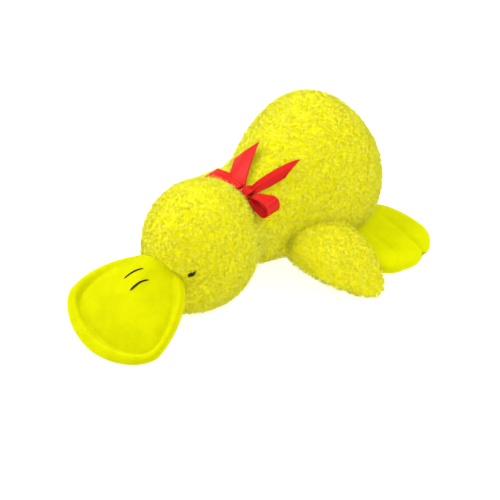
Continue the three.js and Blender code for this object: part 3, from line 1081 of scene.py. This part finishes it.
@dataclass(kw_only=True)
class Pillow(ABC):
    """A stuffed pillow over a flat outline, which each kind of pillow dents and places in its own way."""

    material: Material
    outline: Outline
    root_thickness: float
    tip_thickness: float
    rings: int
    sides: int
    inset: float = 0.0
    thinning_power: float = 1.0
    spread_power: float = 0.7
    puff_power: float = 0.7
    pole_share: float = 0.02

    @property
    def centre(self) -> float:
        """How far from its root the pillow's middle lies."""
        return self.outline.length * self.outline.widest_share

    def edge(self, around: Array) -> tuple[Array, Array]:
        """Places across and forward of the outline's points at angles round it."""
        return self.outline.edge(around)

    @abstractmethod
    def place(self, a: Array, b: Array, h: Array) -> Array:
        """Points of the pillow.

        Args:
            a: Places across it.
            b: Places along it from the root.
            h: Heights over its flat shape.

        Returns:
            The points, in the row's frame.
        """

    def dent(self, a: Array, b: Array, edge: Array, face: Array) -> Array:
        """How deep the cloth is sewn in.

        Args:
            a: Places across it.
            b: Places along it from the root.
            edge: How far inside the outline they lie.
            face: 1 on the upper face and -1 on the lower one.

        Returns:
            How much lower the cloth lies there. A plain pillow has no dents.
        """
        return np.zeros_like(a)

    def thickness(self, b: Array) -> Array:
        """How thick the pillow is at a distance from its root."""
        along = np.clip(b / self.outline.length, 0, 1)
        return mix(self.root_thickness, self.tip_thickness, along**self.thinning_power)

    def skin(self) -> Skin:
        """Makes the pillow's surface.

        Returns:
            The surface, in rings from its upper to its lower middle.
        """
        polar = np.linspace(self.pole_share, 1 - self.pole_share, self.rings)[:, None] * math.pi
        edge_a, edge_b = self.edge(angles(self.sides)[None])
        size = np.hypot(edge_a, edge_b - self.centre)
        reach = (size - self.inset) / size * np.sin(polar) ** self.spread_power
        a = edge_a * reach
        b = mix(self.centre, edge_b, reach)
        face = np.broadcast_to(np.cos(polar), a.shape)
        puff = (self.thickness(b) / 2 - self.inset) * signed_power(face, self.puff_power)
        points = self.place(a, b, puff - self.dent(a, b, size * (1 - reach), np.sign(face)))
        crown = self.thickness(np.array(self.centre)) / 2 - self.inset
        ends = [self.place(np.array(0.0), np.array(self.centre), height) for height in (crown, -crown)]
        return closed_rings(points, ends[0], ends[1])


@dataclass(kw_only=True)
class Limb(Pillow):
    """A limb of the torso, which lies along a line from root to tip, arched upward."""

    kind: ClassVar[str]
    side: Side
    torso: TorsoForm
    root_x: float
    root_y: float
    root_rise: float
    reach: float
    sweep: float
    tip_rise: float
    arch: float
    bend_from: float
    bend_to: float = 72 * MM

    @property
    def name(self) -> str:
        """What the frame calls the limb."""
        return f"{self.kind}_{self.side.label}"

    def place(self, a: Array, b: Array, h: Array) -> Array:
        """Points of the limb.

        Args:
            a: Places across it.
            b: Places along it from the root.
            h: Heights over its flat shape.

        Returns:
            The points, in the row's frame.
        """
        root = np.array([self.root_x, self.torso.rump_y + self.root_y, self.root_rise])
        tip = np.array([root[0] + self.reach, root[1] + self.sweep, self.tip_rise])
        forward = unit(tip - root)
        across = unit(np.array([0, 1, 0]) - forward * forward[1])
        up = np.cross(forward, across)
        lift = h + self.arch * np.sin(np.minimum(1, b / self.outline.length) * math.pi)
        points = root + forward * b[..., None] + across * a[..., None] + up * lift[..., None]
        return above(self.side.mirrored(points))

    def attach(self, pieces: list[Piece]) -> list[Piece]:
        """Hides the frame's cover and filling of the limb and bakes each piece's place into its mesh.

        Args:
            pieces: Its cloth, and after it the pile.

        Returns:
            The same pieces.
        """
        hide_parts(f"{self.name}_cover", f"{self.name}_filling")
        for piece in pieces:
            self.name
            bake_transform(piece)
        return pieces


@dataclass(kw_only=True)
class Wing(Limb):
    """A mitten-shaped wing that hangs from the flank to the floor."""

    kind: ClassVar[str] = "wing"
    outline: Outline = Outline(105 * MM, 73 * MM, 58 * MM, 0.42, 0.36, 3.6, taper_power=1.0)
    root_thickness: float = 40 * MM
    tip_thickness: float = 15 * MM
    rings: int = 80
    sides: int = 170
    inset: float = 2.4 * MM
    root_x: float = 40 * MM
    root_y: float = -70.5 * MM
    root_rise: float = 49 * MM
    reach: float = 96 * MM
    sweep: float = 29 * MM
    tip_rise: float = 0.0
    arch: float = 7 * MM
    bend_from: float = 52 * MM

    def build(self, covered: Covered) -> list[Piece]:
        """Makes the wing's cloth and pile, where nothing covers them."""
        fur = Fur(self.material, seed=31 + self.side.value, lumps=3.0)
        return self.attach(fur.pieces(self.name, self.skin(), covered))


@dataclass(kw_only=True)
class Foot(Limb):
    """A webbed foot with three soft toes parted by sewn creases."""

    kind: ClassVar[str] = "foot"
    outline: Outline = Outline(97 * MM, 88 * MM, 60 * MM, 0.74, 0.63, 2.8)
    root_thickness: float = 26 * MM
    tip_thickness: float = 19 * MM
    rings: int = 72
    sides: int = 160
    root_x: float = 34 * MM
    root_y: float = 20.5 * MM
    root_rise: float = 14.5 * MM
    reach: float = 84 * MM
    sweep: float = -6 * MM
    tip_rise: float = 7.2 * MM
    arch: float = 2 * MM
    bend_from: float = 56 * MM
    toes: int = 3
    toe_notch: float = 3.5 * MM
    front_notch_share: float = 0.45
    crease_depth: float = 3.6 * MM
    crease_width: float = 6.5 * MM
    crease_deepening: float = 1.3
    front_crease: tuple = (0.5, 0.62, 0.2)
    gather_share: float = 0.12
    gather_size: float = 2.2 * MM

    def edge(self, around: Array) -> tuple[Array, Array]:
        """The foot's outline, which runs back between its toes.

        Args:
            around: Angles round it, 0 at the root.

        Returns:
            Places across and forward.
        """
        a, b = self.outline.edge(around)
        toe = np.abs(np.cos(self.toes * a / self.outline.width * math.pi))
        notch = self.toe_notch * np.where(a > 0, 1.0, self.front_notch_share)
        return a, b - notch * (1 - toe) * np.maximum(0, -np.cos(around))

    def dent(self, a: Array, b: Array, edge: Array, face: Array) -> Array:
        """How deep the sewn creases between the toes press in, the one toward the head only faintly.

        Args:
            a: Places across the foot.
            b: Places along it from the root.
            edge: How far inside the outline they lie.
            face: 1 on the upper face and -1 on the lower one.

        Returns:
            How much lower the cloth lies there.
        """
        depth, middle, reach = self.front_crease
        away = np.abs(np.abs(a) - self.outline.width / (2 * self.toes))
        share = b / self.outline.length
        rear_crease = np.clip(share * self.crease_deepening, 0, 1)
        front_crease = depth * np.exp(-(((share - middle) / reach) ** 2))
        along = np.where(a > 0, rear_crease, front_crease)
        gathers = 1 + self.gather_share * np.sin(b / self.gather_size)
        pull = np.exp(-away / (self.crease_width / 2)) * gathers
        return face * self.crease_depth * along * pull

    def build(self) -> list[Piece]:
        """Makes the foot's cloth.

        Returns:
            The piece, in a list.
        """
        cloth = make_piece(f"{self.name}_plush", self.skin(), self.material)
        return self.attach([cloth])


@dataclass(kw_only=True)
class Bill(Pillow):
    """The broad drooping bill with a rolled edge inside a sewn line."""

    head: Head
    outline: Outline = Outline(104 * MM, 124 * MM, 36 * MM, 1.0, 0.718, 1.82, side_power=1.75)
    root_thickness: float = 38 * MM
    tip_thickness: float = 15 * MM
    thinning_power: float = 1.3
    rings: int = 110
    sides: int = 200
    centre_share: float = 0.55
    root_inset: float = 24 * MM
    root_aside: float = 4 * MM
    aside_power: float = 1.5
    root_rise: float = 57 * MM
    tip_rise: float = 20 * MM
    droop_power: float = 1.9
    bridge_height: float = 12 * MM
    bridge_width: float = 25 * MM
    bridge_from: float = 12 * MM
    bridge_length: float = 36 * MM
    rim_width: float = 12.5 * MM
    rim_shift: float = 3 * MM
    groove_depth: float = 9 * MM
    groove_left: tuple = (0.1, 0.35)
    groove_right: tuple = (0.3, 0.7)
    groove_change: float = 20 * MM
    dish_width: float = 22 * MM
    roll_width: float = 4.6 * MM

    @property
    def centre(self) -> float:
        """How far from its root the bill's middle lies."""
        return self.outline.length * self.centre_share

    @property
    def root_y(self) -> float:
        """Where the bill starts, inside the head."""
        return self.head.middle_y - self.head.depth / 2 + self.root_inset

    def place(self, a: Array, b: Array, h: Array) -> Array:
        """Points of the bill, which droops more and more toward its tip.

        Args:
            a: Places across it.
            b: Places along it from the root.
            h: Heights over its flat shape.

        Returns:
            The points, in the row's frame.
        """
        share = b / self.outline.length
        drop = (self.root_rise - self.tip_rise) * np.maximum(0, share) ** self.droop_power
        past = np.maximum(b - self.bridge_from, 0)
        bridge = np.exp(-((a / self.bridge_width) ** 2) - (past / self.bridge_length) ** 2)
        raised = self.bridge_height * bridge * np.clip(h / self.tip_thickness, 0, 1)
        rise = self.root_rise - drop + (h + np.where(h > 0, raised, 0))
        aside = self.root_aside * (1 - np.clip(share, 0, 1)) ** self.aside_power
        return self.head.turned(np.stack([a + aside, self.root_y - b, rise], axis=-1))

    def dent(self, a: Array, b: Array, edge: Array, face: Array) -> Array:
        """How deep the sewn line inside the rolled edge presses in, on the upper face only.

        Args:
            a: Places across the bill.
            b: Places along it from the root.
            edge: How far inside the outline they lie.
            face: 1 on the upper face and -1 on the lower one.

        Returns:
            How much lower the cloth lies there.
        """
        inside = edge - self.rim_width + self.rim_shift * 2 * a / self.outline.width
        pull = np.where(inside > 0, np.exp(-np.maximum(inside, 0) / self.dish_width),
                        np.exp(-((np.minimum(inside, 0) / self.roll_width) ** 2)))
        share = b / self.outline.length
        right, left = (np.interp(share, ends, (0, 1)) for ends in (self.groove_right, self.groove_left))
        along = mix(right, left, 0.5 + 0.5 * np.tanh(a / self.groove_change))
        return np.where(face > 0, self.groove_depth * pull * along, 0)

    def build(self) -> list[Piece]:
        """Makes the bill's cloth.

        Returns:
            The piece, in a list.
        """
        cloth = make_piece("bill_plush", self.skin(), self.material)
        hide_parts("bill_cover", "bill_filling")
        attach(cloth, "head")
        return [cloth]


@dataclass(kw_only=True)
class Woven:
    """The satin that every length of ribbon is cut from."""

    thickness: float = 0.45 * MM
    across_steps: int = 17
    edge_sharpness: float = 6.0
    closed: bool = False

    def surface(self, middle: Array, up: Array) -> Skin:
        """Gives a length of ribbon both faces and its edges.

        Args:
            middle: Points along and across it, as steps by points across by 3.
            up: The way that its upper face looks.

        Returns:
            Its surface, whose tip values fall from 1 on the faces to 0 at the edges.
        """
        half = up * self.thickness / 2
        ring = np.concatenate([middle + half, (middle - half)[:, ::-1]], axis=1)
        count, sides = ring.shape[:2]
        inward = 1 - np.abs(np.linspace(-1, 1, self.across_steps))
        edge = np.clip(inward * self.edge_sharpness, 0, 1)
        tip = np.tile(np.concatenate([edge, edge[::-1]]), (count, 1)).ravel()
        if self.closed:
            skin = Skin(ring.reshape(-1, 3), ring_quads(count, sides, closed=True)).outward()
            skin.tip = tip
        else:
            skin = closed_rings(ring, middle[0].mean(0), middle[-1].mean(0))
            skin.tip = np.concatenate([tip, [1, 1]])
        return skin


@dataclass
class Strip(Woven):
    """A length of ribbon along a path, with pleats where it is gathered."""

    path: Array
    facing: Array
    width: Array
    pleat: Array
    pleats: float = 2.5
    pleat_start: float = 0.6
    edge_wave: float = 0.35 * MM
    edge_waves: float = 19.0

    def skin(self) -> Skin:
        """Makes the ribbon's surface.

        Returns:
            Both faces and the edges.
        """
        count = len(self.path)
        if self.closed:
            forward = unit(np.roll(self.path, -1, axis=0) - np.roll(self.path, 1, axis=0))
        else:
            forward = unit(np.gradient(self.path, axis=0))
        across = unit(np.cross(forward, self.facing))
        up = np.cross(across, forward)
        share = np.linspace(-1, 1, self.across_steps)[None]
        wave = self.pleat[:, None] * np.sin(self.pleats * math.pi * share + self.pleat_start)
        wave += self.edge_wave * np.sin(np.arange(count) / count * self.edge_waves)[:, None] * share**3
        reach = share * self.width[:, None] / 2
        middle = self.path[:, None] + across[:, None] * reach[..., None] + up[:, None] * wave[..., None]
        return self.surface(middle, up[:, None])


@dataclass
class Tail(Woven):
    """A tail of the bow, spread between two edges that are measured from the knot, with a soft fold."""

    knot: Array
    left: tuple[tuple[float, float, float], ...]
    right: tuple[tuple[float, float, float], ...]
    fold: float = 2.0 * MM
    fold_share: float = 0.45
    fold_slope: float = 1.6
    fold_end: float = 0.8
    gathered: float = 0.3
    pleat: float = 1.0 * MM
    pleats: float = 2.5
    steps: int = 56

    def line(self, corners: tuple[tuple[float, float, float], ...]) -> Array:
        """Draws a smooth line.

        Args:
            corners: What it runs through, in mm from the knot.

        Returns:
            Points along the line, in the row's frame.
        """
        share = np.linspace(0, 1, len(corners))
        along = np.linspace(0, 1, self.steps)
        curves = [np.polyfit(share, axis, len(corners) - 1) for axis in np.array(corners).T]
        return self.knot + np.stack([np.polyval(curve, along) for curve in curves], axis=1) * MM

    @property
    def path(self) -> Array:
        """The tail's middle line."""
        return mix(self.line(self.left), self.line(self.right), 0.5)

    def skin(self) -> Skin:
        """Makes the tail's surface.

        Returns:
            Both faces and the edges.
        """
        share = np.linspace(0, 1, self.across_steps)[None]
        along = np.linspace(0, 1, self.steps)[:, None]
        middle = mix(self.line(self.left)[:, None], self.line(self.right)[:, None], share[..., None])
        up = unit(np.cross(np.gradient(middle, axis=1), np.gradient(middle, axis=0)))
        ridge = self.fold * np.sin(along * math.pi * self.fold_end)
        ridge = ridge * (0.5 - np.abs(share - self.fold_share) * self.fold_slope)
        pleats = self.pleat * np.clip(1 - along / self.gathered, 0, 1) * np.sin(self.pleats * TURN * share)
        return self.surface(middle + up * (ridge + pleats)[..., None], up)


@dataclass
class Ribbon:
    """The satin ribbon round the neck and its bow."""

    satin: Material
    form: TorsoForm
    width: float = 18.5 * MM
    band_width: float = 10.2 * MM
    band_radius: float = 40.8 * MM
    band_sink: float = 4.8 * MM
    band_lift: float = 0.8 * MM
    band_behind: float = 8.3 * MM
    band_ahead: float = 2.4 * MM
    band_pleat: float = 0.75 * MM
    band_steps: int = 120
    band_near: float = 0.45
    band_shown: float = 0.45
    band_reach: float = 2.0 * MM
    bow_reach: float = 2.6 * MM
    knot_height: float = 45.4 * MM
    knot_turn: float = math.radians(18)
    knot_length: float = 7.2 * MM
    knot_thickness: float = 3.6 * MM
    knot_lift: float = 0.3 * MM
    knot_width: float = 8.5 * MM
    knot_flat_width: float = 10 * MM
    knot_pleat: float = 0.5 * MM
    knot_pleats: float = 3.4
    knot_steps: int = 44
    pleat_change: float = 0.2 * MM
    loop_start: float = 4.5 * MM
    loop_ends: tuple = (0.02, 0.98)
    loop_roundness: float = 0.85
    loop_upper: float = 0.75
    loop_lower: float = 0.3
    loop_drop_power: float = 1.2
    loop_parting: float = 0.8 * MM
    loop_gather_power: float = 0.6
    loop_gathered_width: float = 0.55
    loop_pleat: float = 1.3 * MM
    loop_steps: int = 56
    tucked: float = 4 * MM

    def turned(self, points: Array) -> Array:
        """Places points made round the neck, with the knot straight up, where the bow sits.

        Args:
            points: Points round the neck's middle line.

        Returns:
            The points, in the row's frame.
        """
        cos, sin = math.cos(self.knot_turn), math.sin(self.knot_turn)
        x, y, z = points[..., 0], points[..., 1], points[..., 2]
        return np.stack([x * cos + z * sin, y + self.form.neck_y + self.band_behind,
                         z * cos - x * sin + self.form.neck_rise], axis=-1)

    def strip(self, path: Array, facing: Array, width: Array | float, pleat: Array,
              **more: float | bool) -> Strip:
        """Makes a strip along a path round the neck and puts it where the bow sits.

        Args:
            path: Its middle line.
            facing: The way that its upper face looks.
            width: How wide it is.
            pleat: How deep its pleats are.
            more: Other fields of the strip.

        Returns:
            The strip.
        """
        facing = self.turned(facing) - self.turned(np.zeros(3))
        return Strip(self.turned(path), facing, width + np.zeros(len(path)), pleat, **more)

    def band(self) -> Strip:
        """Makes the band, flat round the neck and drawn together under the knot.

        Returns:
            The closed strip.
        """
        around = angles(self.band_steps)
        near = np.exp(-((np.minimum(around, TURN - around) / self.band_near) ** 4))
        radius = mix(self.band_radius - self.band_sink, self.band_radius + self.band_lift, near)
        ahead = self.band_ahead * (near - 1)
        path = np.stack([radius * np.sin(around), ahead, radius * np.cos(around)], axis=1)
        pleat = self.band_pleat + self.pleat_change * near
        return self.strip(path, path * np.array([1, 0, 1]), self.band_width, pleat, closed=True)

    def loop(self, side: Side, length: float, drop: float, opening: float, sweep: float) -> Strip:
        """Makes one loop of the bow: out over the top, round its end and back below.

        Args:
            side: Which side of the knot it is on.
            length: How far it reaches.
            drop: How far its end hangs down.
            opening: How far it stands open.
            sweep: How far its end lies behind the knot.

        Returns:
            The strip.
        """
        along = np.linspace(*self.loop_ends, self.loop_steps)
        out = np.sin(along * math.pi) ** self.loop_roundness
        swell = np.sin(along * TURN)
        leaf = opening * np.where(swell > 0, self.loop_upper, self.loop_lower) * swell
        parting = self.loop_parting * np.cos(along * math.pi)
        height = self.knot_height + leaf - drop * out**self.loop_drop_power + parting
        path = np.stack([side.value * (self.loop_start + length * out), sweep * out**2, height], axis=1)
        gather = 1 - np.sin(along * math.pi) ** self.loop_gather_power
        facing = -np.cross(np.array([0.0, 1.0, 0.0])[None], unit(np.gradient(path, axis=0)))
        width = mix(self.width, self.loop_gathered_width * self.width, gather)
        return self.strip(path, facing, width, self.loop_pleat * gather)

    def knot(self) -> Strip:
        """Makes the knot: a short wrap of ribbon across the band.

        Returns:
            The closed strip.
        """
        around = angles(self.knot_steps)
        height = self.knot_height + self.knot_lift + self.knot_thickness * np.sin(around)
        path = np.stack([0 * around, self.knot_length * np.cos(around), height], axis=1)
        facing = path - np.array([0, 0, self.knot_height])
        pleat = self.knot_pleat + self.pleat_change * np.sin(3 * around)
        return self.strip(path, facing, self.knot_width, pleat, closed=True, pleats=self.knot_pleats)

    def strips(self) -> dict[str, Strip | Tail]:
        """Makes every length of ribbon.

        Returns:
            The lengths, by the name of the piece.
        """
        knot = self.turned(np.array([0, 0, self.knot_height]))
        return {
            "ribbon_band": self.band(),
            "ribbon_knot": self.knot(),
            "ribbon_loop_left": self.loop(Side.LEFT, 28 * MM, -1 * MM, 14 * MM, 1 * MM),
            "ribbon_loop_right": self.loop(Side.RIGHT, 41 * MM, 15.5 * MM, 3.5 * MM, -2 * MM),
            "ribbon_tail_left": Tail(
                knot, left=((-1, 3, 2), (2.5, 21.9, 9.2), (12.2, 41.2, 17.4), (20.5, 51.8, 20.5)),
                right=((4, 2, 0), (9, 14, 0.2), (15, 28, 4.6), (17, 33.3, 7.4))),
            "ribbon_tail_right": Tail(
                knot, left=((-3, -3, 1), (-18.5, -6, 0.5), (-30, 6.3, 2.7), (-40, 23.9, 7)),
                right=((-2, 2, 2), (-4.9, 3.3, 2.2), (-11.3, 13, 10.5), (-22, 40.3, 28))),
        }

    def covers(self) -> list[tuple[BVHTree, float]]:
        """Finds what lies on the plush: the bow, and the band close to the knot.

        Returns:
            Each length, and how far from it no pile stands.
        """
        strips = self.strips()
        band = strips.pop("ribbon_band")
        around = (angles(self.band_steps) + math.pi) % TURN
        near = np.argsort(around)
        near = near[np.abs(around[near] - math.pi) < self.band_shown]
        top = Strip(band.path[near], band.facing[near], band.width[near], band.pleat[near])
        bow = [(strip.skin().tree(), self.bow_reach) for strip in strips.values()]
        return [(top.skin().tree(), self.band_reach), *bow]

    def build(self) -> list[Piece]:
        """Makes the band, the knot, the loops and the tails.

        Returns:
            The pieces.
        """
        pieces = []
        for name, strip in self.strips().items():
            piece = make_piece(name + "_satin", strip.skin(), self.satin)
            run = np.linalg.norm(np.diff(strip.path, axis=0), axis=1).sum()
            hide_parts(name)
            length = float(run) - (self.tucked if isinstance(strip, Tail) else 0)
            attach(piece, "torso")
            pieces.append(piece)
        return pieces


@dataclass(kw_only=True)
class Stitching(ABC):
    """Marks of dark thread on the head, each of strands laid side by side."""

    kind: ClassVar[str]
    thread: Material
    strands: int
    strand_radius: float = 0.45 * MM
    strand_sides: int = 8
    twist_from: tuple = (0.3, 0.2, 1.0)

    def strand(self, path: Array, swell: Array) -> Skin:
        """One strand along a path.

        Args:
            path: The strand's middle.
            swell: Its thickness at each point, as a share.

        Returns:
            Its surface.
        """
        forward = unit(np.gradient(path, axis=0))
        across = unit(np.cross(forward, np.array(self.twist_from)))
        up = np.cross(across, forward)
        spin = angles(self.strand_sides)[None, :, None]
        radius = (self.strand_radius * swell)[:, None, None]
        ring = path[:, None] + radius * (np.cos(spin) * across[:, None] + np.sin(spin) * up[:, None])
        return closed_rings(ring, path[0], path[-1])

    @abstractmethod
    def laid(self, side: Side, place: float) -> Skin:
        """Lays one strand of a mark.

        Args:
            side: Which of the two marks.
            place: The strand's number, counted from the mark's middle.

        Returns:
            The strand.
        """

    def build(self) -> list[Piece]:
        """Makes the marks of both sides.

        Returns:
            The pieces.
        """
        pieces = []
        for side in Side:
            name = f"{self.kind}_{side.label}"
            places = np.arange(self.strands) - (self.strands - 1) / 2
            strands = [self.laid(side, place) for place in places]
            piece = make_piece(f"{name}_stitches", joined(strands), self.thread)
            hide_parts(name)
            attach(piece, "head")
            pieces.append(piece)
        return pieces


@dataclass(kw_only=True)
class Eyes(Stitching):
    """Two short satin-stitched dashes beside the bill's root."""

    kind: ClassVar[str] = "eye"
    head: Head
    strands: int = 7
    length: float = 9.5 * MM
    shortening: float = 0.03
    slope: float = math.radians(40)
    spread: float = 0.52 * MM
    closing: float = 0.35
    stand: float = 1.2 * MM
    end_drop: float = 0.9 * MM
    side_drop: float = 0.12 * MM
    sunk: float = 2.0 * MM
    steps: int = 15

    def laid(self, side: Side, place: float) -> Skin:
        """Lays one strand of an eye, bowed out of the cloth.

        Args:
            side: Which eye.
            place: The strand's number, counted from the eye's middle.

        Returns:
            The strand.
        """
        head = self.head
        centre = head.eye(Side.LEFT)
        x, y, z = centre - np.array([0, head.middle_y, head.middle_z])
        turn = math.atan2(x, -y)
        run = math.cos(self.slope)
        along = np.array([run * math.cos(turn), run * math.sin(turn), math.sin(self.slope)])
        outward = unit(np.array([x / head.width**2, y / head.depth**2, z / (2 * head.half_height) ** 2]))
        centre = centre - outward * self.sunk
        outward = unit(outward - along * (outward @ along))
        aside = np.cross(outward, along)
        share = np.linspace(-1, 1, self.steps)
        reach = self.length / 2 * (1 - self.shortening * place**2)
        bow = self.stand * np.sqrt(np.maximum(0, 1 - share**2)) - self.end_drop * share**2
        bow = bow - self.side_drop * place**2
        beside = place * self.spread * (1 - self.closing * share**2)
        path = centre + along * (share * reach)[:, None] + outward * bow[:, None] + aside * beside[:, None]
        return self.strand(head.turned(side.mirrored(path)), np.ones(self.steps))


@dataclass(kw_only=True)
class Nostrils(Stitching):
    """Two thin embroidered dashes on the bill's upper face."""

    kind: ClassVar[str] = "nostril"
    bill: Bill
    strands: int = 3
    spacing: float = 14 * MM
    from_root: float = 44 * MM
    stagger: float = 5 * MM
    aside: float = -3 * MM
    length: float = 18 * MM
    slant_left: float = math.radians(24)
    slant_right: float = math.radians(38)
    arch: float = -2.0 * MM
    spread: float = 0.5 * MM
    spread_power: float = 0.6
    stand: float = 0.25 * MM
    look_from: float = 0.1
    thin: float = 0.9
    thick_left: float = 1.6
    thick_right: float = 1.05
    swelling: float = 3.0
    swell_delay: float = 1.3
    end_taper: float = 12.0
    end_share: float = 0.3
    steps: int = 25

    def __post_init__(self) -> None:
        """Makes the search tree of the bill that the strands are laid on."""
        self.ground = self.bill.skin().tree()

    def laid(self, side: Side, place: float) -> Skin:
        """Lays one strand of a nostril on the bill.

        Args:
            side: Which nostril.
            place: The strand's number, counted from the nostril's middle.

        Returns:
            The strand.
        """
        left = side is Side.LEFT
        slant = self.slant_left if left else self.slant_right
        share = np.linspace(0, 1, self.steps)
        arc = np.sin(share * math.pi)
        run = (share - 0.5) * self.length
        bow = self.arch * arc + place * self.spread * arc**self.spread_power
        a = self.aside + side.value * self.spacing / 2 - run * math.sin(slant) + bow * math.cos(slant)
        b = self.from_root + side.value * self.stagger / 2 + run * math.cos(slant) + bow * math.sin(slant)
        over = self.bill.place(a, b, self.look_from + 0 * a)
        spots = [self.ground.ray_cast(Vector(spot), Vector((0, 0, -1)))[0] for spot in over]
        path = np.array([list(spot) for spot in spots]) + np.array([0, 0, self.stand])
        thick = self.thick_left if left else self.thick_right
        swell = mix(self.thin, thick, np.clip(share * self.swelling - self.swell_delay, 0, 1))
        ends = np.clip(np.minimum(share, 1 - share) * self.end_taper, self.end_share, 1)
        return self.strand(path, swell * ends)


def stand(data: bpy.types.ID, place: tuple, target: tuple) -> bpy.types.Object:
    """Stands a light or camera in its place, pointing at a target.

    Args:
        data: The light or camera.
        place: Where it stands.
        target: What it points at.

    Returns:
        Its object, linked to the scene.
    """
    made = bpy.data.objects.new(data.name, data)
    made.location = place
    made.rotation_euler = (Vector(target) - Vector(place)).to_track_quat("-Z", "Y").to_euler()
    bpy.context.scene.collection.objects.link(made)
    return made


@dataclass(frozen=True)
class Lamp:
    """A soft square light that points at the duck."""

    name: str
    place: tuple
    size: float
    power: float
    target: tuple = (0, 0, 0.06)

    def build(self) -> None:
        """Makes the light."""
        lamp = bpy.data.lights.new(self.name, "AREA")
        lamp.shape = "SQUARE"
        lamp.size = self.size
        lamp.energy = self.power
        stand(lamp, self.place, self.target)


@dataclass
class Studio:
    """Pale floor, soft light and the camera at the photograph's angle."""

    lamps: tuple = (
        Lamp("key", (-0.95, -0.55, 1.5), size=1.0, power=28.5),
        Lamp("side", (-1.3, -0.85, 0.35), size=1.2, power=4.5),
        Lamp("fill", (1.2, -0.9, 1.2), size=1.4, power=8.0),
        Lamp("back", (1.0, 1.2, 1.7), size=1.2, power=26.0),
    )
    camera_place: tuple = (0.610, -0.646, 0.752)
    camera_target: tuple = (0.007, 0.011, 0.024)
    lens: float = 82.87
    sensor: float = 36.0
    nearest: float = 0.05
    floor_size: float = 14.0
    floor_shade: tuple = (0.50, 0.50, 0.52)
    floor_light: tuple = (0.52, 0.52, 0.54)
    floor_patches: float = 0.5
    floor_glow: float = 0.78
    world_strength: float = 0.72

    def build(self) -> None:
        """Makes floor, world, lights and camera."""
        bpy.context.scene.view_settings.view_transform = "Standard"
        self.lay_floor()
        world = bpy.data.worlds.new("studio")
        world.use_nodes = True
        settle(world.node_tree.nodes["Background"], Color=(*WHITE, 1), Strength=self.world_strength)
        bpy.context.scene.world = world
        for lamp in self.lamps:
            lamp.build()
        self.set_camera()

    def lay_floor(self) -> None:
        """Makes the pale floor."""
        half = self.floor_size / 2
        corners = np.array([[-half, -half, 0], [half, -half, 0], [half, half, 0], [-half, half, 0]])
        nodes = Nodes("pale_floor")
        nodes.paint(nodes.clouds(self.floor_patches, {0.0: self.floor_shade, 1.0: self.floor_light}))
        settle(nodes.shader, Roughness=0.8, Emission_Color=(*WHITE, 1.0), Emission_Strength=self.floor_glow)
        floor = make_piece("floor", Skin(corners, np.array([[0, 1, 2, 3]])), nodes.material)

    def set_camera(self) -> None:
        """Makes the camera and makes it the scene's own."""
        camera = bpy.data.cameras.new("camera")
        camera.lens = self.lens
        camera.sensor_width = self.sensor
        camera.clip_start = self.nearest
        bpy.context.scene.camera = stand(camera, self.camera_place, self.camera_target)


def report(pieces: list[Piece]) -> None:
    """Logs each piece of a part that is done."""
    for piece in pieces:
        LOG.info("%s done", piece.name)


def main() -> None:
    """Builds the studio and the duck, part by part."""
    logging.basicConfig(level=logging.INFO, format="%(name)s: %(message)s")
    Studio().build()
    plush = PlushFinish().material()
    smooth = SmoothPlushFinish().material()
    # The feet take a lighter copy of the bill's smooth plush: painted light that makes up for the torso's
    # shade on them.
    foot_plush = SmoothPlushFinish("foot_plush", (0.555, 0.58, 0.0), (0.595, 0.62, 0.0)).material()
    satin = SatinFinish().material()
    thread = ThreadFinish().material()
    form = TorsoForm()
    torso = Torso(plush, form)
    head = Head(plush)
    bill = Bill(material=smooth, head=head)
    wings = [Wing(material=plush, side=side, torso=form) for side in Side]
    feet = [Foot(material=foot_plush, side=side, torso=form) for side in Side]
    ribbon = Ribbon(satin, form)
    bow = ribbon.covers()
    report(torso.build(Covered([limb.skin().tree() for limb in [*wings, *feet]], bow)))
    report(head.build(Covered([bill.skin().tree()], bow)))
    report(Neck(plush, form).build(Covered([], bow)))
    report(bill.build())
    for wing in wings:
        report(wing.build(Covered([torso.skin().tree()])))
    for foot in feet:
        report(foot.build())
    report(ribbon.build())
    report(Eyes(thread=thread, head=head).build())
    report(Nostrils(thread=thread, bill=bill).build())


if __name__ == "__main__":
    main()
